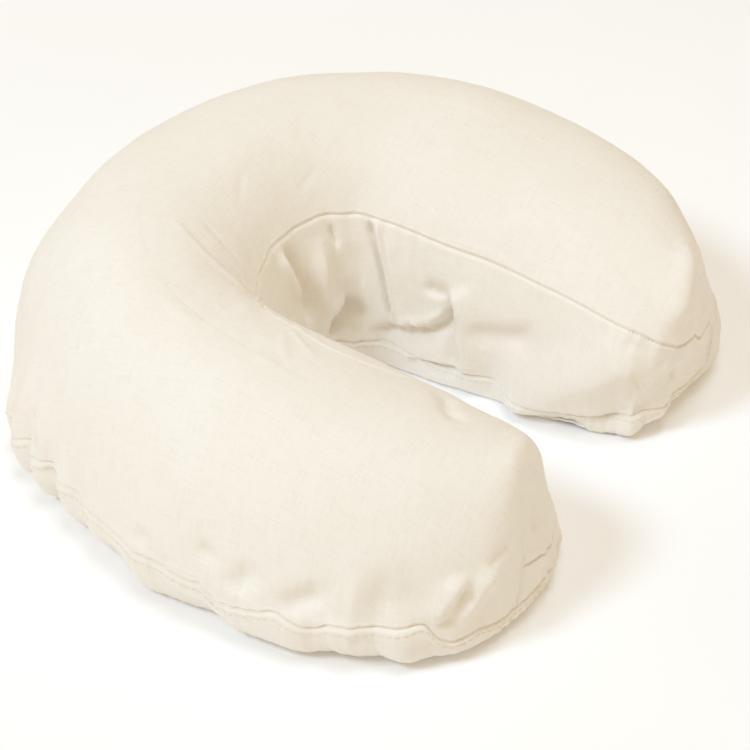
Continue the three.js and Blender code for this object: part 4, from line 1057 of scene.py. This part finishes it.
# --- hem casing, folded round the elastic
hem_u = form.hem[:, None]
v = np.linspace(0, 1, 40)
cas_u = hem_u + (2 - hem_u) * v[None]
arc = form.at(form.arc, cas_u)
outerX = form.at(form.G, cas_u) + form.at(sN, cas_u) * groove(arc - arc[:, :1])[..., None]
nh = np.concatenate([q["n"], np.zeros((T, 1))], 1)[:, None]
r = CASING / 2
th = np.linspace(0, math.pi, 10)[1:]
low = outerX[:, -1:]
curl = low - nh * r + nh * (r * np.cos(th))[None, :, None]
curl[..., 2] = low[..., 2] - np.minimum(r, low[..., 2] - .15) * np.sin(th)[None]
v2 = np.linspace(1, .04, 24)
back_u = hem_u + (2 - hem_u) * v2[None]
calm = kept_in(form.at(form.X + form.N * form.low[..., None], back_u), form.at(form.G, np.tile(np.linspace(1.05, 2, 40), (T, 1))), q, 0.0, 1.2)
in_by = .7 + (CASING - .7) * smooth((1 - 0) * v2 * 3)
ret = calm - nh * in_by[None, :, None]
ret[:, 0] = curl[:, -1]
k = smooth(np.linspace(0, 1, 24) * 4)[None, :, None]
ret = ret * k + (curl[:, -1:] + (calm - calm[:, :1])) * (1 - k)
path = np.concatenate([outerX, curl, ret[:, 1:]], 1)
N, _ = grid_normals(path)
run = np.concatenate([np.zeros((T, 1)), np.cumsum(np.linalg.norm(np.diff(path, axis=1), axis=2), axis=1)], 1)
W = np.stack([np.repeat(form.loop[:, None] * 1.3, path.shape[1], 1), run], -1)
casing = shell("cover_casing_cotton", path, N, CLOTH, True, None, W)
place(casing, COTTON, "cotton", "cover_hem_casing")

# --- stitches
edge_n = form.at(sN, form.seam[:, None])[:, 0]
inner_part = np.r_[np.arange(form.right.start, form.right.stop), np.arange(form.hole.start, form.hole.stop), np.arange(form.left.start, form.left.stop)]
inner_part = inner_part[(tall[inner_part] > .03) & (np.abs(q["s"][inner_part]) > .955)]
right_end = inner_part[inner_part < form.hole.start + form.n]
left_end = inner_part[inner_part >= form.hole.start + form.n]
P, D, Nn = (np.concatenate(a) for a in zip(along(seam_edge[right_end], edge_n[right_end], 1.7), along(seam_edge[left_end], edge_n[left_end], 1.7)))
across = np.cross(D, Nn) + .22 * D
jit = np.random.RandomState(5)
across += jit.uniform(-.10, .10, across.shape)
st = threads("cover_seam_stitches", P + Nn * .34, across, Nn, 1.9, .14, .10)
place(st, THREAD, "cotton")
hem_edge = form.at(form.G, np.minimum(form.hem + .075, 1.97)[:, None])[:, 0]
hem_n = form.at(sN, np.minimum(form.hem + .075, 1.97)[:, None])[:, 0]
P, D, Nn = along(hem_edge, hem_n, 2.9, closed=True)
hst = threads("cover_hem_topstitching", P + Nn * .16, D, Nn, 2.1, .15, .07)
place(hst, THREAD, "cotton")

# --- the coarser form for what lies under the cover
pick = np.r_[np.arange(0, 441, 4), form.right.start + np.arange(1, 90, 3), form.hole.start + np.arange(0, 441, 4), form.left.start + np.arange(1, 90, 3)]
step = np.r_[np.arange(0, len(form.us) - 1, 3), len(form.us) - 1]
inner = Form.__new__(Form)
inner.n, inner.ends, inner.T = 55, 30, len(pick)
inner.q = {k: a[pick] for k, a in form.q.items()}
inner.us = form.us[step]
inner.X, inner.N, inner.low, inner.G = (a[pick][:, step] for a in (form.X, form.N, form.low, form.G))
inner.hem, inner.loop, inner.loop_length = form.hem[pick], form.loop[pick], form.loop_length
inner.right, inner.hole, inner.left = slice(111, 141), slice(141, 252), slice(252, 282)
inner.base = inner.X + inner.N * inner.low[..., None]
im = spine_ids(inner)


def under(u, depth):
    """points at a depth below the cover"""
    P = inner.at(inner.base, u) + point(inner.q, u, depth) - point(inner.q, u)
    Q = kept_in(P, inner.G[:, inner.us > 1], inner.q, depth)
    return P + (Q - P) * smooth((u - .8) / .2)[..., None]


def rows(a, b, n):
    return np.tile(np.linspace(a, b, n), (inner.T, 1))


def clamp(X, low):
    X[..., 2] = np.maximum(X[..., 2], low)
    return X


# --- hem elastic, a flat ribbon in the casing
eu = rows(0, 1, 8)
lo_u = inner.hem[:, None] + (2 - inner.hem[:, None]) * .30
hi_u = inner.hem[:, None] + (2 - inner.hem[:, None]) * .78
eu = lo_u + (hi_u - lo_u) * eu
gather = np.sin(inner.loop / inner.loop_length * 2 * math.pi * 88)[:, None, None] * np.concatenate([inner.q["n"], np.zeros((inner.T, 1))], 1)[:, None]
inh = np.concatenate([inner.q["n"], np.zeros((inner.T, 1))], 1)[:, None]
ribbon = kept_in(inner.at(inner.base, eu), inner.G[:, inner.us > 1], inner.q, 0.0)
A = ribbon - inh * .95 + .12 * gather
B = ribbon - inh * 1.75 + .12 * gather
A, B = clamp(A, 1.6), clamp(B, 1.6)
loopX = np.concatenate([A, B[:, ::-1]], 1)
run = np.concatenate([np.linspace(0, 10, 8), np.linspace(10, 0, 8)])
W = np.stack([np.repeat(inner.loop[:, None], 16, 1), np.tile(run, (inner.T, 1))], -1)
elastic = ring("hem_elastic_ribbon", loopX, W)
place(elastic, ELASTIC, "elastic", "hem_elastic")

# --- jacket: top panel, outer and inner boxing, base panel
ju = rows(0, .65, 26)
X = under(ju, JACKET_AT)
N, _ = grid_normals(X)
N[:, 0] = N[:, 1]
jt = shell("jacket_top_skin", X, N, JACKET, True, im, X[..., :2])
place(jt, VINYL, "jacket", "jacket_top_panel")
bottom_u = 1.90


def boxing(name, stations):
    u = rows(.66, bottom_u, 30)
    X = clamp(under(u, JACKET_AT), 2.4)[stations]
    N, _ = grid_normals(X, closed=False)
    N[..., 2] *= .15
    N /= np.linalg.norm(N, axis=2, keepdims=True)
    W = np.stack([np.repeat(inner.loop[stations][:, None], 30, 1), np.tile(np.linspace(0, 50, 30), (len(stations), 1))], -1)
    ob = shell(name + "_skin", X, N, JACKET, False, None, W)
    return place(ob, VINYL, "jacket", name)


m = 2 * inner.n + 1
jo = boxing("jacket_outer_boxing", np.r_[np.arange(inner.left.start + 2, inner.left.stop), np.arange(0, m), np.arange(inner.right.start, inner.right.stop - 2)])
ji = boxing("jacket_inner_boxing", np.arange(inner.hole.start, inner.hole.stop))
rim = under(rows(1.93, 1.93, 1), JACKET_AT + .05)[:, 0, :2]
mid = (inner.q["M"] + SHIFT) * SCALE
k = np.concatenate([np.linspace(0, 1, 22), [1.0], np.linspace(1, 0, 22)])
X = np.zeros((inner.T, len(k), 3))
X[..., :2] = mid[:, None] + (rim - mid)[:, None] * k[None, :, None]
X[..., 2] = np.concatenate([np.full(22, 3.35), [2.85], np.full(22, 2.35)])[None]
X[:, 20:22, 2] -= .12
X[:, 23:25, 2] += .12
jb = solid("jacket_base_cloth", X, im, im, X[..., :2])
place(jb, BASE, "base_cloth", "jacket_base_panel")

# --- foam: a soft comfort layer on a firmer core
split_z = .5 * height(inner.q["s"]) * SCALE
table_u = np.linspace(.3, 1.9, 200)
zz = point(inner.q, np.tile(table_u, (inner.T, 1)), FOAM_AT)[..., 2]
su = np.array([table_u[np.argmin(np.abs(zz[t] - split_z[t]))] for t in range(inner.T)])
su = (np.roll(su, 1) + su + np.roll(su, -1)) / 3
top_rows = np.linspace(0, 1, 30)[None] * su[:, None]
skin = under(top_rows, FOAM_AT)
floor_z = skin[:, -1:, 2] - .25
flat = skin[:, ::-1].copy()
flat[..., :2] = mid[:, None] + (skin[:, -1:, :2] - mid[:, None]) * np.linspace(1, 0, 30)[None, :, None] * 1.0
flat[..., 2] = floor_z - .0 + .0 * flat[..., 2]
flat[:, -1, 2] = split_z
flat[..., 2] = floor_z * np.linspace(1, 0, 30)[None] + split_z[:, None] * np.linspace(0, 1, 30)[None]
comfort = solid("comfort_layer_foam", np.concatenate([skin, flat], 1), im, im)
place(comfort, COMFORT, "comfort_foam", "foam_comfort_layer")
side_u = su[:, None] + (1.88 - su[:, None]) * np.linspace(0, 1, 26)[None]
wall = clamp(under(side_u, FOAM_AT), 3.9)
lid = flat[:, ::-1].copy()
lid[..., 2] -= .35
lid[:, -1, :2] = wall[:, 0, :2]
k = np.linspace(1, 0, 30)[None, :, None]
foot = np.zeros((inner.T, 30, 3))
foot[..., :2] = mid[:, None] + (wall[:, -1:, :2] - mid[:, None]) * k
foot[..., 2] = 3.75
wall[:, 0, 2] = lid[:, -1, 2]
support = solid("support_core_foam", np.concatenate([lid[:, :-1], wall, foot], 1), im, im)
place(support, SUPPORT, "support_foam", "foam_support_core")


# --- loop strips: a soft pile on a woven back, sewn round its edge
def strip(name):
    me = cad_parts[name].data
    co = np.array([v.co for v in me.vertices]) / MM
    c = (co.max(0) + co.min(0)) / 2
    xy = co[:, :2] - co[:, :2].mean(0)
    w, vec = np.linalg.eigh(xy.T @ xy)
    ax = vec[:, 1]
    ax = ax if ax[0] > 0 else -ax
    ay = np.array([-ax[1], ax[0]])
    a, b = (xy @ ax), (xy @ ay)
    hx, hy = (a.max() - a.min()) / 2, (b.max() - b.min()) / 2
    c[:2] = co[:, :2].mean(0) + ax * (a.max() + a.min()) / 2 + ay * (b.max() + b.min()) / 2
    z0, z1 = co[:, 2].min(), co[:, 2].max()
    # rings of a rounded rectangle, from the middle of the face round the edge to the back
    n = 160
    t = np.arange(n) / n * 2 * math.pi
    ct, stt = np.cos(t), np.sin(t)
    ex = 9.0
    px = np.sign(ct) * np.abs(ct) ** (2 / ex) * hx
    py = np.sign(stt) * np.abs(stt) ** (2 / ex) * hy
    prof = [(0.02, z1)] + [(k, z1) for k in np.linspace(.12, .93, 9)] + [(.985, z1 - .12), (1, z1 - .5), (1, z0 + .5), (.99, z0 + .12)] + [(k, z0) for k in np.linspace(.95, .12, 22)] + [(0.02, z0)]
    r = np.random.RandomState(9)
    X = np.zeros((n, len(prof), 3))
    for j, (s_, z) in enumerate(prof):
        inset = (1 - s_)
        X[:, j, 0] = c[0] + ax[0] * px * s_ + ay[0] * py * s_
        X[:, j, 1] = c[1] + ax[1] * px * s_ + ay[1] * py * s_
        X[:, j, 2] = z
    pile = r.uniform(0, .22, (n, len(prof)))
    under_ = X[..., 2] < z0 + .05
    X[..., 2] += np.where(under_, pile, 0)
    idx = np.arange(n * len(prof)).reshape(n, len(prof))
    F = grid_faces(idx, True)
    faces = tidy(F)
    faces.append(idx[:, 0].tolist())
    faces.append(idx[::-1, -1].tolist())
    ob = finish_mesh(name + "_pile", X.reshape(-1, 3), faces, X.reshape(-1, 3))
    place(ob, LOOP, "loop", name)
    line = np.stack([c[0] + ax[0] * px * .955 + ay[0] * py * .86, c[1] + ax[1] * px * .955 + ay[1] * py * .86, np.full(n, z0 + .18)], 1)
    P, D, Nn = along(line, np.tile([[0, 0, -1.0]], (n, 1)), 3.1, closed=True)
    s2 = threads(name + "_stitches", P, D, Nn, 2.4, .17, .02)
    place(s2, THREAD, "loop")
    return ob, s2


strips = [strip(n) for n in ("loop_strip_crown", "loop_strip_left", "loop_strip_right")]


def area_of(ob):
    n = len(ob.data.polygons)
    a = np.zeros(n)
    ob.data.polygons.foreach_get("area", a)
    return a.sum() / 2


for ob in (top, gusset, casing, elastic, jt, jo, ji, jb) + tuple(s[0] for s in strips):
    print("AREA", ob.name, round(area_of(ob), 5), "faces", len(ob.data.polygons))
print("LOOP mm", round(form.loop_length, 1), "gusset run", round(float(np.abs(np.diff(form.loop[keep])).sum()), 1))

# ------------------------------------------------------------------ the studio
e = EYE
a, b, r = (math.radians(e[k]) for k in ("az", "el", "roll"))
back = np.array([math.sin(a) * math.cos(b), -math.cos(a) * math.cos(b), math.sin(b)])
right = np.array([math.cos(a), math.sin(a), 0])
up = np.cross(back, right)
R = math.cos(r) * right + math.sin(r) * up
UP = -math.sin(r) * right + math.cos(r) * up
target = np.array(e["target"])
eye = (target + back * e["dist"]) * MM
cam = bpy.data.cameras.new("camera")
cam.sensor_width = 36
cam.lens = e["f"] * 36
cam.clip_start, cam.clip_end = .02, 30
co = bpy.data.objects.new("camera", cam)
M4 = Matrix([[R[i], UP[i], back[i], eye[i]] for i in range(3)] + [[0, 0, 0, 1]])
co.matrix_world = M4
bpy.context.scene.collection.objects.link(co)
bpy.context.scene.camera = co

fm = bpy.data.meshes.new("floor")
fm.from_pydata([(-6, -6, 0), (6, -6, 0), (6, 6, 0), (-6, 6, 0)], [], [(0, 1, 2, 3)])
fo = bpy.data.objects.new("floor", fm)
fm.materials.append(floor_mat("floor"))
bpy.context.scene.collection.objects.link(fo)

away = np.array([-back[0], -back[1], 0])
away /= np.linalg.norm(away)


def light(name, side, depth, high, size, power, color):
    L = bpy.data.lights.new(name, "AREA")
    L.shape, L.size, L.energy, L.color = "DISK", size, power, color
    o = bpy.data.objects.new(name, L)
    p = target * MM + right * side + away * depth + np.array([0, 0, high])
    o.location = p
    o.rotation_euler = (Vector(target * MM) - Vector(p)).to_track_quat("-Z", "Y").to_euler()
    bpy.context.scene.collection.objects.link(o)
    return o


light("key", -2.0, -1.2, 2.7, 1.0, 54.0, (.58, .77, 1.0))
light("overhead", .3, -.25, 3.3, 1.7, 38.0, (.68, .83, 1.0))
W = bpy.data.worlds.new("studio")
bpy.context.scene.world = W
W.use_nodes = True
bg = W.node_tree.nodes["Background"]
bg.inputs["Color"].default_value = (1.0, .775, .47, 1)
bg.inputs["Strength"].default_value = .575
vs = bpy.context.scene.view_settings
vs.view_transform = "Standard"
vs.look = "None"
vs.exposure = 0.0
